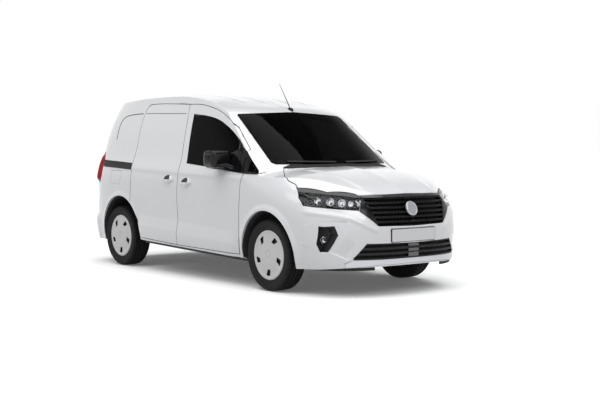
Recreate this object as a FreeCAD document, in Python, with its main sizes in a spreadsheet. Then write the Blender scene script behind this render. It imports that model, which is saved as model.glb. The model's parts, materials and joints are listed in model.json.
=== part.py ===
import FreeCAD, Part
import math
import os
import Sketcher
from FreeCAD import Placement, Rotation, Vector

# Small panel van. X points forward, Y to the driver's left and Z up.
# The origin is on the ground, under the middle of the van. Millimetres.

doc = FreeCAD.newDocument("PanelVan")

# Driving sizes: name, value in millimetres or degrees, meaning
SIZES = [
    ("front_overhang", 962, "front axle to the bumper's face"),
    ("wheelbase", 2716, "front axle to rear axle"),
    ("rear_overhang", 810, "rear axle to the rear bumper's face"),
    ("body_width", 1860, "widest place of the body sides"),
    ("body_height", 1858, "ground to the crown of the roof"),
    ("side_wall", 70, "outer skin to inner trim of sides and doors"),
    ("roof_wall", 40, "outer skin to lining of the roof"),
    ("skin_depth", 26, "depth of the outer step of doors and covers"),
    ("bonnet_wall", 26, "thickness of the bonnet"),
    ("shut_gap", 6, "gap round doors and bonnet at the outer skin"),
    ("step_gap", 9, "gap round the inner step of a door"),
    ("door_step", 42, "how far a door's outer skin overlaps its frame"),
    ("trim_gap", 2, "gap round lamps and grilles"),
    ("fit_gap", 0.3, "gap at a seat, a hinge or a bearing"),
    ("glass_wall", 5, "thickness of the glass"),
    ("glass_lap", 18, "how far the glass overlaps its frame"),
    ("floor_wall", 30, "thickness of the floors"),
    ("panel_wall", 20, "thickness of bulkhead and partition"),
    ("housing_wall", 8, "thickness of the wheel housings"),
    ("tyre_radius", 326, "tyre's outer radius"),
    ("tyre_width", 205, "tyre's width"),
    ("rim_radius", 212, "seat of the tyre on the rim"),
    ("cover_radius", 228, "wheel cover's outer radius"),
    ("cover_slots", 5, "slots in a wheel cover"),
    ("wheel_inset", 34, "widest body side to the tyre's outer wall"),
    ("spindle_radius", 28, "spindle that carries a wheel"),
    ("arch_side_gap", 50, "front arch's half width beyond the tyre's radius"),
    ("arch_top_gap", 78, "front arch's height beyond the tyre's radius"),
    ("arch_shift", 8, "front arch's middle ahead of the front axle"),
    ("rear_arch_side_gap", 86, "rear arch's half width beyond the tyre's radius"),
    ("rear_arch_top_gap", 116, "rear arch's height beyond the tyre's radius"),
    ("rear_arch_shift", 71, "rear arch's middle ahead of the rear axle"),
    ("steer_room", 210, "tyre's inner wall to the front housing's inner wall"),
    ("rear_room", 45, "tyre's inner wall to the rear housing's inner wall"),
    ("kingpin_inset", 60, "tyre's middle to the steering axis"),
    ("strut_radius", 26, "suspension strut"),
    ("beam_radius", 34, "rear axle beam"),
    ("rail_width", 70, "width of the subframe's side rails"),
    ("exhaust_radius", 24, "exhaust pipe"),
    ("silencer_radius", 85, "exhaust silencer"),
    ("seat_width", 480, "width of a seat"),
    ("seat_depth", 500, "seat cushion along the van"),
    ("cushion_top", 340, "seat cushion above the cab floor"),
    ("back_top", 860, "seat back above the cab floor"),
    ("seat_spread", 780, "between the middles of the two seats"),
    ("steering_wheel_radius", 185, "steering wheel's rim centre line"),
    ("steering_rim", 15, "radius of the steering wheel's rim section"),
    ("engine_length", 520, "engine block along the van"),
    ("engine_width", 620, "engine block across the van"),
    ("engine_height", 480, "engine block upright"),
    ("antenna_length", 315, "antenna mast"),
    ("antenna_radius", 5, "antenna mast at its foot"),
    ("antenna_lean", 35, "antenna's lean to the rear from upright, degrees"),
    ("hinge_radius", 11, "rear door hinge barrel"),
    ("hinge_height", 60, "rear door hinge barrel's height"),
    ("hinge_standoff", 14, "rear door hinge axis behind the corner's skin"),
    ("lash_radius", 6, "hole of a lashing point in the load floor"),
    ("lash_spacing_x", 1000, "between lashing points along the van"),
    ("lash_spacing_y", 800, "between lashing points across the van"),
]

sheet = doc.addObject("Spreadsheet::Sheet", "Sizes")
for row, (name, value, meaning) in enumerate(SIZES, start=1):
    sheet.set("A%d" % row, meaning)
    sheet.set("B%d" % row, str(value))
    sheet.setAlias("B%d" % row, name)
doc.recompute()


def size(name):
    return float(sheet.get(name))


# Places of the drawing. Outlines are drawn on this van, and along(), across() and up()
# stretch them to the sizes in the sheet.
DRAWN = {"front": 2244, "front_axle": 1282, "rear_axle": -1434, "rear": -2244, "half_width": 930, "top": 1858}
LENGTH = size("front_overhang") + size("wheelbase") + size("rear_overhang")
FRONT = LENGTH / 2
REAR = -LENGTH / 2
FRONT_AXLE = FRONT - size("front_overhang")
REAR_AXLE = REAR + size("rear_overhang")
HALF_WIDTH = size("body_width") / 2
HALF_TRACK = HALF_WIDTH - size("wheel_inset") - size("tyre_width") / 2
TYRE_INSIDE = HALF_TRACK - size("tyre_width") / 2
KINGPIN = HALF_TRACK - size("kingpin_inset")
AXLE_HEIGHT = size("tyre_radius")
BEYOND = 300


def along(x):
    """Drawn station along the van to its real place."""
    if x > DRAWN["front_axle"]:
        drawn = DRAWN["front"] - DRAWN["front_axle"]
        return FRONT_AXLE + (x - DRAWN["front_axle"]) * size("front_overhang") / drawn
    if x < DRAWN["rear_axle"]:
        drawn = DRAWN["rear_axle"] - DRAWN["rear"]
        return REAR_AXLE + (x - DRAWN["rear_axle"]) * size("rear_overhang") / drawn
    drawn = DRAWN["front_axle"] - DRAWN["rear_axle"]
    return REAR_AXLE + (x - DRAWN["rear_axle"]) * size("wheelbase") / drawn


def across(y):
    return y * HALF_WIDTH / DRAWN["half_width"]


def up(z):
    return z * size("body_height") / DRAWN["top"]


# Plan outlines of the body's left half, from the sill up: height, half width, rear end,
# where the nose starts to round, nose, and how square the nose's curve is.
PLANS = [
    (180, 872, -2170, 1200, 2170, 3.0),
    (300, 893, -2235, 1200, 2238, 3.0),
    (450, 915, -2244, 1200, 2244, 3.0),
    (620, 926, -2225, 1200, 2236, 3.0),
    (760, 930, -2203, 1150, 2197, 2.9),
    (900, 924, -2200, 1000, 2115, 2.7),
    (1000, 912, -2195, 800, 2010, 2.5),
    (1100, 886, -2190, 650, 1850, 2.5),
    (1203, 858, -2186, 500, 1700, 2.5),
    (1400, 803, -2165, 250, 1550, 2.5),
    (1600, 738, -2110, 0, 1350, 2.5),
    (1760, 672, -2035, -200, 1100, 2.5),
    (1900, 590, -1930, -400, 900, 2.5),
]
WIDEST = 3
TAIL_START = -1350
TAIL_SQUARENESS = 4.2
QUARTER = [0, 12, 25, 38, 50, 60, 70, 80, 90]
STRAIGHT_PARTS = 4

# Centre line of the roof, windscreen and bonnet, from the rear
CENTRE_LINE = [
    (-2330, 1690), (-2050, 1788), (-1800, 1820), (-1300, 1850), (-800, 1858), (-400, 1844),
    (0, 1797), (250, 1738), (440, 1683), (620, 1576), (900, 1388), (1120, 1240), (1270, 1145),
    (1370, 1110), (1520, 1092), (1680, 1058), (1850, 1008), (2000, 950), (2120, 885), (2330, 740),
]
ROOF_RUNS = (0, 400, 650, 820, 1000)
SCREEN_TOP = 440
SCREEN_FOOT = 1370
BOW_END = 1600
CROWN_DROP = 58
SCREEN_BOW_TOP = 110
SCREEN_BOW_FOOT = 200
EDGE_START = 470
EDGE_DROP = 40


def curve(points, start=None, end=None, steps=None):
    spline = Part.BSplineCurve()
    if steps is None:
        steps = [i / (len(points) - 1) for i in range(len(points))]
    if start is None:
        spline.interpolate(Points=points, Parameters=steps)
    else:
        ends = {"InitialTangent": start, "FinalTangent": end, "Scale": False}
        spline.interpolate(Points=points, Parameters=steps, **ends)
    return spline.toShape()


def quarter_point(start, reach, half, squareness, angle, height):
    """Point of a quarter of a squared ellipse, from the tip at 0 to the side at 90 degrees."""
    cosine = 0.0 if angle == 90 else math.cos(math.radians(angle))
    sine = math.sin(math.radians(angle))
    return Vector(start + reach * cosine ** (2 / squareness), half * sine ** (2 / squareness), height)


def plan_points(level, depth):
    """One height's outline, from the nose along the left side to the tail."""
    z, half, rear, nose_start, nose, squareness = level
    height = up(z)
    half = across(half) - depth
    start = along(nose_start)
    tail = along(TAIL_START)
    reach = along(nose) - depth - start
    tail_reach = along(rear) + depth - tail
    points = [quarter_point(start, reach, half, squareness, a, height) for a in QUARTER]
    for part in range(1, STRAIGHT_PARTS):
        points.append(Vector(start + (tail - start) * part / STRAIGHT_PARTS, half, height))
    points += [quarter_point(tail, tail_reach, half, TAIL_SQUARENESS, a, height) for a in reversed(QUARTER)]
    return points


def plan_steps():
    """Where the outline's points lie along its length, the same for every height."""
    points = plan_points(PLANS[WIDEST], 0)
    lengths = [0.0]
    for one, two in zip(points, points[1:]):
        lengths.append(lengths[-1] + one.distanceToPoint(two))
    return [length / lengths[-1] for length in lengths]


def plan_wire(level, depth):
    points = plan_points(level, depth)
    pull = LENGTH + HALF_WIDTH
    outline = curve(points, Vector(0, pull, 0), Vector(0, -pull, 0), plan_steps())
    return Part.Wire([outline, Part.LineSegment(points[-1], points[0]).toShape()])


def side_wire(y, depth):
    """Roof, windscreen and bonnet at distance y from the middle."""
    out = (y / DRAWN["half_width"]) ** 2
    edge = max(0.0, (y - EDGE_START) / (DRAWN["half_width"] - EDGE_START)) ** 2
    points = []
    for x, z in CENTRE_LINE:
        share = min(1.0, max(0.0, (x - SCREEN_TOP) / (SCREEN_FOOT - SCREEN_TOP)))
        bow = SCREEN_BOW_TOP + share * (SCREEN_BOW_FOOT - SCREEN_BOW_TOP)
        if x < 0 or x > BOW_END:
            bow = 0
        elif x < SCREEN_TOP or x > SCREEN_FOOT:
            bow = bow / 2
        drop = CROWN_DROP * out + EDGE_DROP * edge
        points.append(Vector(along(x) - bow * out, across(y), up(z - drop) - depth))
    front_low = Vector(points[-1].x, points[-1].y, -BEYOND)
    rear_low = Vector(points[0].x, points[0].y, -BEYOND)
    lines = [(points[-1], front_low), (front_low, rear_low), (rear_low, points[0])]
    return Part.Wire([curve(points)] + [Part.LineSegment(a, b).toShape() for a, b in lines])


FORMS = {}


def form(depth, top_depth=None):
    """Left half of the solid body form, set in by depth at its sides and top_depth above."""
    if top_depth is None:
        top_depth = depth
    key = (round(depth, 3), round(top_depth, 3))
    if key not in FORMS:
        sides = Part.makeLoft([plan_wire(level, depth) for level in PLANS], True, False)
        tops = [side_wire(y, top_depth) for y in ROOF_RUNS]
        FORMS[key] = sides.common(Part.makeLoft(tops, True, False))
    return FORMS[key]


def side_zone(depth):
    """The body form deeper than depth behind its sides, with nothing taken off above."""
    return form(depth, -size("side_wall"))


def lining():
    """The body form at the inner face of its walls."""
    return form(size("side_wall"), size("roof_wall"))


def lining_gap():
    """The same, with a fitting gap, for what stands against the walls."""
    return form(size("side_wall") + size("fit_gap"), size("roof_wall") + size("fit_gap"))


# Outlines
def mapped(points, view):
    """Drawn points to real ones. A third number marks a point that a curve passes through."""
    first = across if view in ("front", "rear") else along
    second = across if view == "plan" else up
    return [(first(p[0]), second(p[1])) + tuple(p[2:]) for p in points]


def grown(points, distance):
    """The closed outline moved outwards by distance, or inwards if it is negative."""
    area = 0
    for (a, b), (c, d) in zip([p[:2] for p in points], [p[:2] for p in points[1:] + points[:1]]):
        area += a * d - b * c
    turn = 1 if area > 0 else -1
    moved = []
    for i, point in enumerate(points):
        before = points[i - 1]
        after = points[(i + 1) % len(points)]
        one = Vector(point[0] - before[0], point[1] - before[1], 0).normalize()
        two = Vector(after[0] - point[0], after[1] - point[1], 0).normalize()
        normal_one = Vector(one.y, -one.x, 0) * turn
        normal_two = Vector(two.y, -two.x, 0) * turn
        middle = (normal_one + normal_two).normalize()
        reach = distance / max(0.35, middle.dot(normal_one))
        moved.append((point[0] + middle.x * reach, point[1] + middle.y * reach) + tuple(point[2:]))
    return moved


def closed_wire(points, place):
    corners = [i for i, p in enumerate(points) if len(p) == 2]
    edges = []
    for number, first in enumerate(corners):
        last = corners[(number + 1) % len(corners)]
        if last <= first:
            last += len(points)
        run = [place(*points[i % len(points)][:2]) for i in range(first, last + 1)]
        if len(run) == 2:
            edges.append(Part.LineSegment(run[0], run[1]).toShape())
        else:
            edges.append(curve(run))
    return Part.Wire(edges)


def prism(points, view, start, end):
    """Outline pushed through the body: side from y, front and rear from x, plan from z."""
    if view == "side":
        wire = closed_wire(points, lambda a, b: Vector(a, start, b))
        travel = Vector(0, end - start, 0)
    elif view == "plan":
        wire = closed_wire(points, lambda a, b: Vector(a, b, start))
        travel = Vector(0, 0, end - start)
    else:
        wire = closed_wire(points, lambda a, b: Vector(start, a, b))
        travel = Vector(end - start, 0, 0)
    return Part.Face(wire).extrude(travel)


# Outlines of the left half. Those that reach the middle of the van run on to PAST_MIDDLE.
PAST_MIDDLE = -120
FRONT_DOOR = [
    (-200, 318), (846, 305), (878, 632), (889, 833), (889, 960), (912, 1035), (868, 1240),
    (801, 1350, 1), (645, 1455, 1), (470, 1558, 1), (275, 1642, 1), (84, 1692, 1), (-105, 1722, 1),
    (-318, 1729), (-268, 1557), (-225, 1315), (-200, 1140), (-200, 902), (-185, 576),
]
SLIDING_DOOR = [
    (-206, 318), (-191, 576), (-206, 902), (-206, 1140), (-231, 1315), (-274, 1557), (-324, 1729),
    (-817, 1750, 1), (-1105, 1748), (-1155, 1725), (-1175, 1656), (-1180, 1540), (-1150, 1304),
    (-1160, 1060), (-1141, 921), (-1141, 650), (-1080, 560), (-1000, 440), (-952, 345),
]
DOOR_GLASS = [
    (-92, 1136), (765, 1075), (822, 1090), (814, 1270), (661, 1396, 1), (373, 1537, 1),
    (97, 1602, 1), (-182, 1627),
]
QUARTER_GLASS = [(965, 1074), (1128, 1060), (1105, 1090), (962, 1196)]
WING_ZONE = [
    (895, 100), (895, 960), (920, 1032), (1140, 1032), (1178, 1076), (1178, 1500),
    (2500, 1500), (2500, 100),
]
BUMPER_ZONE = [
    (1652, 100), (1652, 560), (1640, 690), (1700, 850), (1750, 960), (2500, 960), (2500, 100),
]
UNDERSIDE = [
    (-2500, 262), (-1775, 262), (-1700, 318), (-945, 318), (942, 271), (1640, 236), (1890, 244),
    (2077, 262), (2500, 286), (2500, -250), (-2500, -250),
]
BONNET = [
    (1335, PAST_MIDDLE), (1335, 0), (1300, 350, 1), (1196, 640), (1408, 790), (1488, 812),
    (1579, 803), (1625, 812), (1875, 690), (2052, 482), (2100, 300, 1), (2118, 0), (2118, PAST_MIDDLE),
]
ROOF = [
    (-2100, PAST_MIDDLE), (-2100, 560), (-1985, 560), (-1400, 600, 1), (-600, 612, 1),
    (100, 600, 1), (468, 560), (512, 300, 1), (524, 0), (524, PAST_MIDDLE),
]
COWL = [(1178, PAST_MIDDLE), (1178, 640), (1400, 640), (1400, PAST_MIDDLE)]
SCREEN = [
    (PAST_MIDDLE, 1145), (0, 1145), (350, 1140), (676, 1139), (700, 1155), (650, 1600), (630, 1618),
    (0, 1646), (PAST_MIDDLE, 1646),
]
HEADLAMP = [
    (480, 892), (478, 850), (540, 755), (700, 768), (816, 782), (853, 790), (850, 857),
    (818, 944), (690, 918),
]
UPPER_GRILLE = [
    (PAST_MIDDLE, 612), (0, 612), (380, 620), (398, 626), (476, 850), (476, 886), (0, 896),
    (PAST_MIDDLE, 896),
]
LOWER_GRILLE = [
    (PAST_MIDDLE, 334), (596, 334), (604, 342), (500, 470), (0, 462), (PAST_MIDDLE, 462),
]
CHIN = [
    (PAST_MIDDLE, 286), (0, 286), (400, 282), (650, 262), (655, 300), (596, 330), (PAST_MIDDLE, 330),
]
FOG_POCKET = [(805, 619), (729, 605), (707, 558), (758, 402), (790, 399), (811, 468)]
REAR_DOORS = [
    (PAST_MIDDLE, 568), (708, 568), (716, 900), (704, 1160), (668, 1400), (612, 1640), (580, 1694),
    (520, 1716), (PAST_MIDDLE, 1716),
]
TAIL_LAMP = [(-2400, 1237), (-2400, 895), (-1905, 895), (-1862, 985), (-1890, 1237)]
TAIL_LAMP_INNER = 724
SCRAP = 1e5
LAMP_START = 1600
REAR_BUMPER = [(-2500, 562), (-1840, 562), (-1840, 100), (-2500, 100)]
FUEL_FLAP = [(-1590, 890), (-1378, 890), (-1378, 1037), (-1590, 1037)]
SLIDE_RAIL = [(-1200, 1062), (-1195, 1104), (-1850, 1142), (-1830, 1096)]
SILL_STRIP = [(-930, 317.3), (930, 271), (930, 238), (-930, 284)]
WIPER = [(60, 1168), (62, 1154), (560, 1162), (560, 1174)]
DASHBOARD = [
    (1129.7, 640), (1129.7, 1040), (1100, 1078), (930, 1086), (800, 1042), (768, 960), (800, 800),
    (900, 640),
]
REAR_HINGE = (-2150, 724)

# Heights and stations of the structure
CAB_FLOOR_TOP = 366
LOAD_FLOOR_TOP = 566
PARTITION = -215
BULKHEAD = 1130
BULKHEAD_TOP = 1040
LOAD_FLOOR_END = -2230
HOUSING_FOOT = 300

FRONT_ARCH = (
    FRONT_AXLE + size("arch_shift"),
    size("tyre_radius") + size("arch_side_gap"),
    size("tyre_radius") + size("arch_top_gap"),
)
REAR_ARCH = (
    REAR_AXLE + size("rear_arch_shift"),
    size("tyre_radius") + size("rear_arch_side_gap"),
    size("tyre_radius") + size("rear_arch_top_gap"),
)
FRONT_HOUSING_IN = TYRE_INSIDE - size("steer_room")
REAR_HOUSING_IN = TYRE_INSIDE - size("rear_room")
OUTSIDE = HALF_WIDTH + BEYOND
WALLS = form(0).cut(lining())


def mirror(shape):
    return shape.mirror(Vector(0, 0, 0), Vector(0, 1, 0))


def solids_of(shape):
    """The shape's solids, as one solid or one compound."""
    solids = shape.Solids
    return solids[0] if len(solids) == 1 else Part.makeCompound(solids)


def pair(shape):
    """A piece and its twin on the other side of the van."""
    return Part.makeCompound(shape.Solids + mirror(shape).Solids)


def whole(shape):
    """A left half joined to its mirror image."""
    return solids_of(shape.fuse(mirror(shape)))


def side_prism(points, growth=0.0, y_in=300):
    real = mapped(points, "side")
    return prism(grown(real, growth) if growth else real, "side", y_in, OUTSIDE)


def front_prism(points, growth=0.0, x_in=1400):
    real = mapped(points, "front")
    return prism(grown(real, growth) if growth else real, "front", along(x_in), FRONT + BEYOND)


def screen_prism(points, growth=0.0):
    return front_prism(points, growth, 380)


def rear_prism(points, growth=0.0):
    real = mapped(points, "rear")
    return prism(grown(real, growth) if growth else real, "rear", along(-1700), REAR - BEYOND)


def plan_prism(points, growth=0.0, low=1050, high=2000):
    real = mapped(points, "plan")
    return prism(grown(real, growth) if growth else real, "plan", up(low), up(high))


def bonnet_prism(growth=0.0):
    return plan_prism(BONNET, growth, 872, 1400)


def flat_box(x_start, x_end, y_start, y_end, z_low, z_high):
    box = Part.makeBox(x_end - x_start, y_end - y_start, z_high - z_low)
    box.translate(Vector(x_start, y_start, z_low))
    return box


def stepped(outline, maker):
    """A door: full outline in the outer skin, and smaller by door_step behind it."""
    outer = maker(outline).common(form(0)).cut(form(size("skin_depth")))
    inner = maker(outline, -size("door_step")).common(form(size("skin_depth")))
    return outer.fuse(inner.cut(lining()))


def stepped_side(outline, maker):
    """A door that ends at the inside of the side wall, also under the windscreen's edge."""
    outer = maker(outline).common(form(0)).cut(side_zone(size("skin_depth")))
    inner = maker(outline, -size("door_step")).common(form(size("skin_depth")))
    return outer.fuse(inner.cut(side_zone(size("side_wall"))))


def door_cuts(outline, maker, room=0.0):
    """The space that a door, its gaps and the room for its swing take out of the body."""
    deep = size("skin_depth") + size("shut_gap") + room
    outer = maker(outline, size("shut_gap")).cut(form(deep))
    return [outer, maker(outline, size("step_gap") + room - size("door_step"))]


def side_door_cuts(outline, maker):
    """The same for a door in the side wall. What lies further in stays."""
    deep = size("skin_depth") + size("shut_gap")
    outer = maker(outline, size("shut_gap")).cut(side_zone(deep))
    inner = maker(outline, size("step_gap") - size("door_step"))
    return [outer, inner.cut(side_zone(size("side_wall") + size("step_gap")))]


def trim_cuts(outline, maker):
    """The space for a lamp or grille: with a gap in the outer skin, close behind it."""
    skin = maker(outline, size("trim_gap")).cut(form(size("skin_depth")))
    return [skin, maker(outline, size("fit_gap"))]


def window_cuts(outline, maker):
    """The space for a pane in its rebate, and the smaller opening behind it."""
    rebate = maker(outline, size("trim_gap")).cut(form(size("glass_wall") + size("fit_gap")))
    return [rebate, maker(outline, -size("glass_lap"))]


def between(tool, outer, inner):
    """What a prism holds between two depths of the body form."""
    return tool.common(form(outer)).cut(form(inner))


def arch(centre_x, half, rise, y_in, extra=0.0):
    """Wheel arch: half an ellipse on straight legs, from y_in outwards."""
    points = []
    for angle in range(0, 181, 15):
        x = centre_x + (half + extra) * math.cos(math.radians(angle))
        z = AXLE_HEIGHT + (rise + extra) * math.sin(math.radians(angle))
        points.append(Vector(x, y_in, z))
    front_foot = Vector(centre_x + half + extra, y_in, -BEYOND)
    rear_foot = Vector(centre_x - half - extra, y_in, -BEYOND)
    top = curve(points, Vector(0, 0, rise * math.pi), Vector(0, 0, -rise * math.pi))
    lines = [(points[-1], rear_foot), (rear_foot, front_foot), (front_foot, points[0])]
    wire = Part.Wire([top] + [Part.LineSegment(a, b).toShape() for a, b in lines])
    return Part.Face(wire).extrude(Vector(0, OUTSIDE - y_in, 0))


ARCHES = [arch(*FRONT_ARCH, FRONT_HOUSING_IN), arch(*REAR_ARCH, REAR_HOUSING_IN)]
UNDER = side_prism(UNDERSIDE, 0, -1)
WING = side_prism(WING_ZONE, 0, -1)
BUMPER = side_prism(BUMPER_ZONE, 0, -1)
TAIL = side_prism(REAR_BUMPER, 0, -1)
DOOR_CUTS = side_door_cuts(FRONT_DOOR, side_prism)
SLIDE_CUTS = door_cuts(SLIDING_DOOR, side_prism)
REAR_CUTS = door_cuts(REAR_DOORS, rear_prism, size("step_gap"))
SCREEN_CUTS = window_cuts(SCREEN, screen_prism)


def without(shape, *groups):
    for group in groups:
        shape = shape.cut(group)
    return shape


def tail_prism(outline, growth=0.0):
    return side_prism(outline, growth, across(TAIL_LAMP_INNER) - growth)


LAMP_CUTS = trim_cuts(HEADLAMP, lambda outline, growth: front_prism(outline, growth, LAMP_START))


def side_frame():
    """Body side with its pillars, from the windscreen to the rear corner."""
    quarter = side_prism(QUARTER_GLASS, size("fit_gap"))
    frame = without(WALLS, plan_prism(ROOF), WING, TAIL, UNDER, quarter, ARCHES)
    frame = without(frame, trim_cuts(TAIL_LAMP, tail_prism))
    return solids_of(without(frame, DOOR_CUTS, SLIDE_CUTS, REAR_CUTS, SCREEN_CUTS))


def roof_panel():
    roof = WALLS.common(plan_prism(ROOF))
    return whole(without(roof, SCREEN_CUTS, REAR_CUTS, DOOR_CUTS))


def front_wing():
    cowl = plan_prism(COWL, 0, 850, 1400)
    wing = without(WALLS.common(WING), BUMPER, UNDER, cowl, bonnet_prism(size("shut_gap")))
    wing = without(wing, LAMP_CUTS, ARCHES, SCREEN_CUTS)
    return Part.makeCompound([s for s in wing.Solids if s.Volume > SCRAP])


def front_bumper():
    bumper = without(WALLS.common(BUMPER), UNDER, bonnet_prism(size("shut_gap")), ARCHES)
    bumper = bumper.cut(LAMP_CUTS)
    for outline in (UPPER_GRILLE, LOWER_GRILLE, CHIN, FOG_POCKET):
        bumper = bumper.cut(trim_cuts(outline, front_prism))
    return whole(Part.makeCompound([s for s in bumper.Solids if s.Volume > SCRAP]))


def cowl_strip():
    strip = between(plan_prism(COWL, 0, 1050, 1400), 0, size("bonnet_wall"))
    return whole(without(strip, bonnet_prism(size("shut_gap")), screen_prism(SCREEN, size("trim_gap"))))


def headlamp():
    lamp = front_prism(HEADLAMP, 0, LAMP_START).common(WALLS)
    return solids_of(lamp.cut(bonnet_prism(size("shut_gap"))))


def barred_grille(outline, bars, depth):
    """Grille: bars across a plate that is set back behind them."""
    zone = front_prism(outline).cut(bonnet_prism(size("shut_gap")))
    heights = [point[1] for point in mapped(outline, "front")]
    pitch = (max(heights) - min(heights)) / bars
    grille = between(zone, depth, depth + size("shut_gap"))
    face = between(zone, 0, depth)
    for number in range(bars):
        low = min(heights) + (number + 0.25) * pitch
        face = face.cut(flat_box(along(1400), FRONT + BEYOND, -1, OUTSIDE, low, low + pitch / 2))
    half = grille.fuse(face)
    return whole(Part.makeCompound([s for s in half.Solids if s.Volume > SCRAP]))


def pane(outline, maker):
    return solids_of(between(maker(outline), 0, size("glass_wall")))


def front_door():
    door = stepped_side(FRONT_DOOR, side_prism)
    return solids_of(without(door, UNDER, ARCHES, window_cuts(DOOR_GLASS, side_prism)))


def sliding_door():
    return solids_of(without(stepped(SLIDING_DOOR, side_prism), UNDER, ARCHES))


def rear_door():
    """One of the twin rear doors. Its free edge is turned to the swing about its hinges."""
    seam = size("shut_gap") / 2
    top = size("body_height") + BEYOND
    half = flat_box(REAR - BEYOND, 0, seam, OUTSIDE, 0, top)
    hinge_x = along(REAR_HINGE[0]) - size("hinge_standoff")
    hinge_y = across(REAR_HINGE[1])
    zone = half.common(Part.makeCylinder(hinge_y - seam, top, Vector(hinge_x, hinge_y, 0)))
    return solids_of(stepped(REAR_DOORS, lambda outline, growth=0.0: rear_prism(outline, growth).common(zone)))


def tail_lamp():
    lamp = tail_prism(TAIL_LAMP).common(WALLS)
    return solids_of(without(lamp, REAR_CUTS))


def rear_bumper():
    return whole(without(WALLS.common(TAIL), ARCHES, UNDER, REAR_CUTS))


def housing(arch_sizes, y_in, foot):
    wall = size("housing_wall")
    outer = arch(*arch_sizes, y_in - wall, wall)
    inner = arch(*arch_sizes, y_in)
    low = flat_box(REAR, FRONT, -OUTSIDE, OUTSIDE, -2 * BEYOND, foot)
    return outer.common(lining_gap()).cut([inner, low])


def floor_pan():
    """Cab floor, heel board, load floor with its lashing holes, and wheel housings."""
    wall = size("floor_wall")
    cab_low = up(CAB_FLOOR_TOP) - wall
    load_low = up(LOAD_FLOOR_TOP) - wall
    heel = along(PARTITION)
    cab = flat_box(heel, along(BULKHEAD), -1, OUTSIDE, cab_low, cab_low + wall)
    board = flat_box(heel - wall, heel, -1, OUTSIDE, cab_low, load_low + wall)
    load = flat_box(along(LOAD_FLOOR_END), heel - wall, -1, OUTSIDE, load_low, load_low + wall)
    floor = cab.fuse([board, load]).common(lining_gap())
    for share in (-0.5, 0.5):
        x = (along(LOAD_FLOOR_END) + heel) / 2 + share * size("lash_spacing_x")
        spot = Vector(x, size("lash_spacing_y") / 2, 0)
        floor = floor.cut(Part.makeCylinder(size("lash_radius"), size("body_height"), spot))
    floor = floor.cut(ARCHES)
    rear_foot = AXLE_HEIGHT + 2 * size("beam_radius")
    front_housing = housing(FRONT_ARCH, FRONT_HOUSING_IN, up(HOUSING_FOOT))
    floor = floor.fuse([front_housing, housing(REAR_ARCH, REAR_HOUSING_IN, rear_foot)])
    return whole(floor.cut(ARCHES))


def bulkhead():
    x = along(BULKHEAD)
    low = up(CAB_FLOOR_TOP) - size("floor_wall")
    plate = flat_box(x, x + size("panel_wall"), -1, OUTSIDE, low, up(BULKHEAD_TOP))
    plate = plate.common(lining_gap())
    return whole(plate.cut(arch(*FRONT_ARCH, FRONT_HOUSING_IN - size("housing_wall"), size("housing_wall"))))


def partition():
    x = along(PARTITION)
    plate = flat_box(x, x + size("panel_wall"), -1, OUTSIDE, up(CAB_FLOOR_TOP), size("body_height"))
    return whole(plate.common(lining_gap()))


def dashboard():
    block = side_prism(DASHBOARD, 0, -1).common(form(size("side_wall") + 2 * size("shut_gap")))
    room = size("housing_wall") + size("fit_gap")
    return whole(block.cut(arch(*FRONT_ARCH, FRONT_HOUSING_IN - room, room)))


def subframe():
    """Side rails, cross members, arms to the knuckles and the radiator's support."""
    rail_high = up(CAB_FLOOR_TOP) - size("floor_wall")
    rail_low = rail_high - size("rail_width")
    rail_out = FRONT_HOUSING_IN - 3 * size("housing_wall")
    rail_in = rail_out - size("rail_width")
    nose = along(1950)
    frame = flat_box(along(900), nose, rail_in, rail_out, rail_low, rail_high)
    for x in (1180, 1560):
        frame = frame.fuse(flat_box(along(x), along(x + 70), -1, rail_out, rail_low, rail_high))
    support = flat_box(nose, nose + size("panel_wall"), -1, rail_out, rail_low, up(850))
    arm_high = AXLE_HEIGHT - ARM_DROP
    points = [
        (rail_in, rail_low), (rail_out, rail_low), (rail_out + 30, arm_high),
        (KINGPIN + ARM_WIDTH / 3, arm_high), (KINGPIN + ARM_WIDTH / 3, arm_high - ARM_WALL),
        (rail_out, arm_high - ARM_WALL), (rail_in, rail_low - ARM_WALL),
    ]
    wire = closed_wire(points, lambda a, b: Vector(FRONT_AXLE - ARM_WIDTH / 2, a, b))
    arm = Part.Face(wire).extrude(Vector(ARM_WIDTH, 0, 0))
    pad_spot = Vector(nose + size("panel_wall") / 2, rail_in, up(850))
    pad = Part.makeCylinder(PAD_RADIUS, BEYOND, pad_spot).common(form(size("bonnet_wall") + size("fit_gap")))
    return whole(frame.fuse([support, arm, pad]))


RAISED = 9
ARM_DROP = 111
ARM_WIDTH = 60
ARM_WALL = 24
PAD_RADIUS = 10
BALL_RADIUS = 20
STRUT_TOP_Y = TYRE_INSIDE - size("strut_radius") - 45


def tilted_cylinder(radius, start, end):
    travel = end - start
    return Part.makeCylinder(radius, travel.Length, start, travel)


def knuckle():
    """Ball joint, upright, strut and spindle. The strut lies on the steering axis."""
    ball = Vector(FRONT_AXLE, KINGPIN, AXLE_HEIGHT - ARM_DROP + BALL_RADIUS + size("fit_gap"))
    top_height = AXLE_HEIGHT + FRONT_ARCH[2] - 2 * size("shut_gap")
    top = Vector(FRONT_AXLE, STRUT_TOP_Y, top_height)
    strut = tilted_cylinder(size("strut_radius"), ball, top)
    strut = strut.fuse(Part.makeSphere(BALL_RADIUS, ball))
    low = flat_box(0, FRONT, 0, OUTSIDE, 0, ball.z)
    strut = strut.cut(low).fuse(Part.makeSphere(BALL_RADIUS, ball))
    share = (AXLE_HEIGHT - ball.z) / (top.z - ball.z)
    hub = Vector(FRONT_AXLE, ball.y + share * (top.y - ball.y), AXLE_HEIGHT)
    end = Vector(FRONT_AXLE, HALF_TRACK + size("tyre_width") / 3, AXLE_HEIGHT)
    return solids_of(strut.fuse(tilted_cylinder(size("spindle_radius"), hub, end)))


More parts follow.
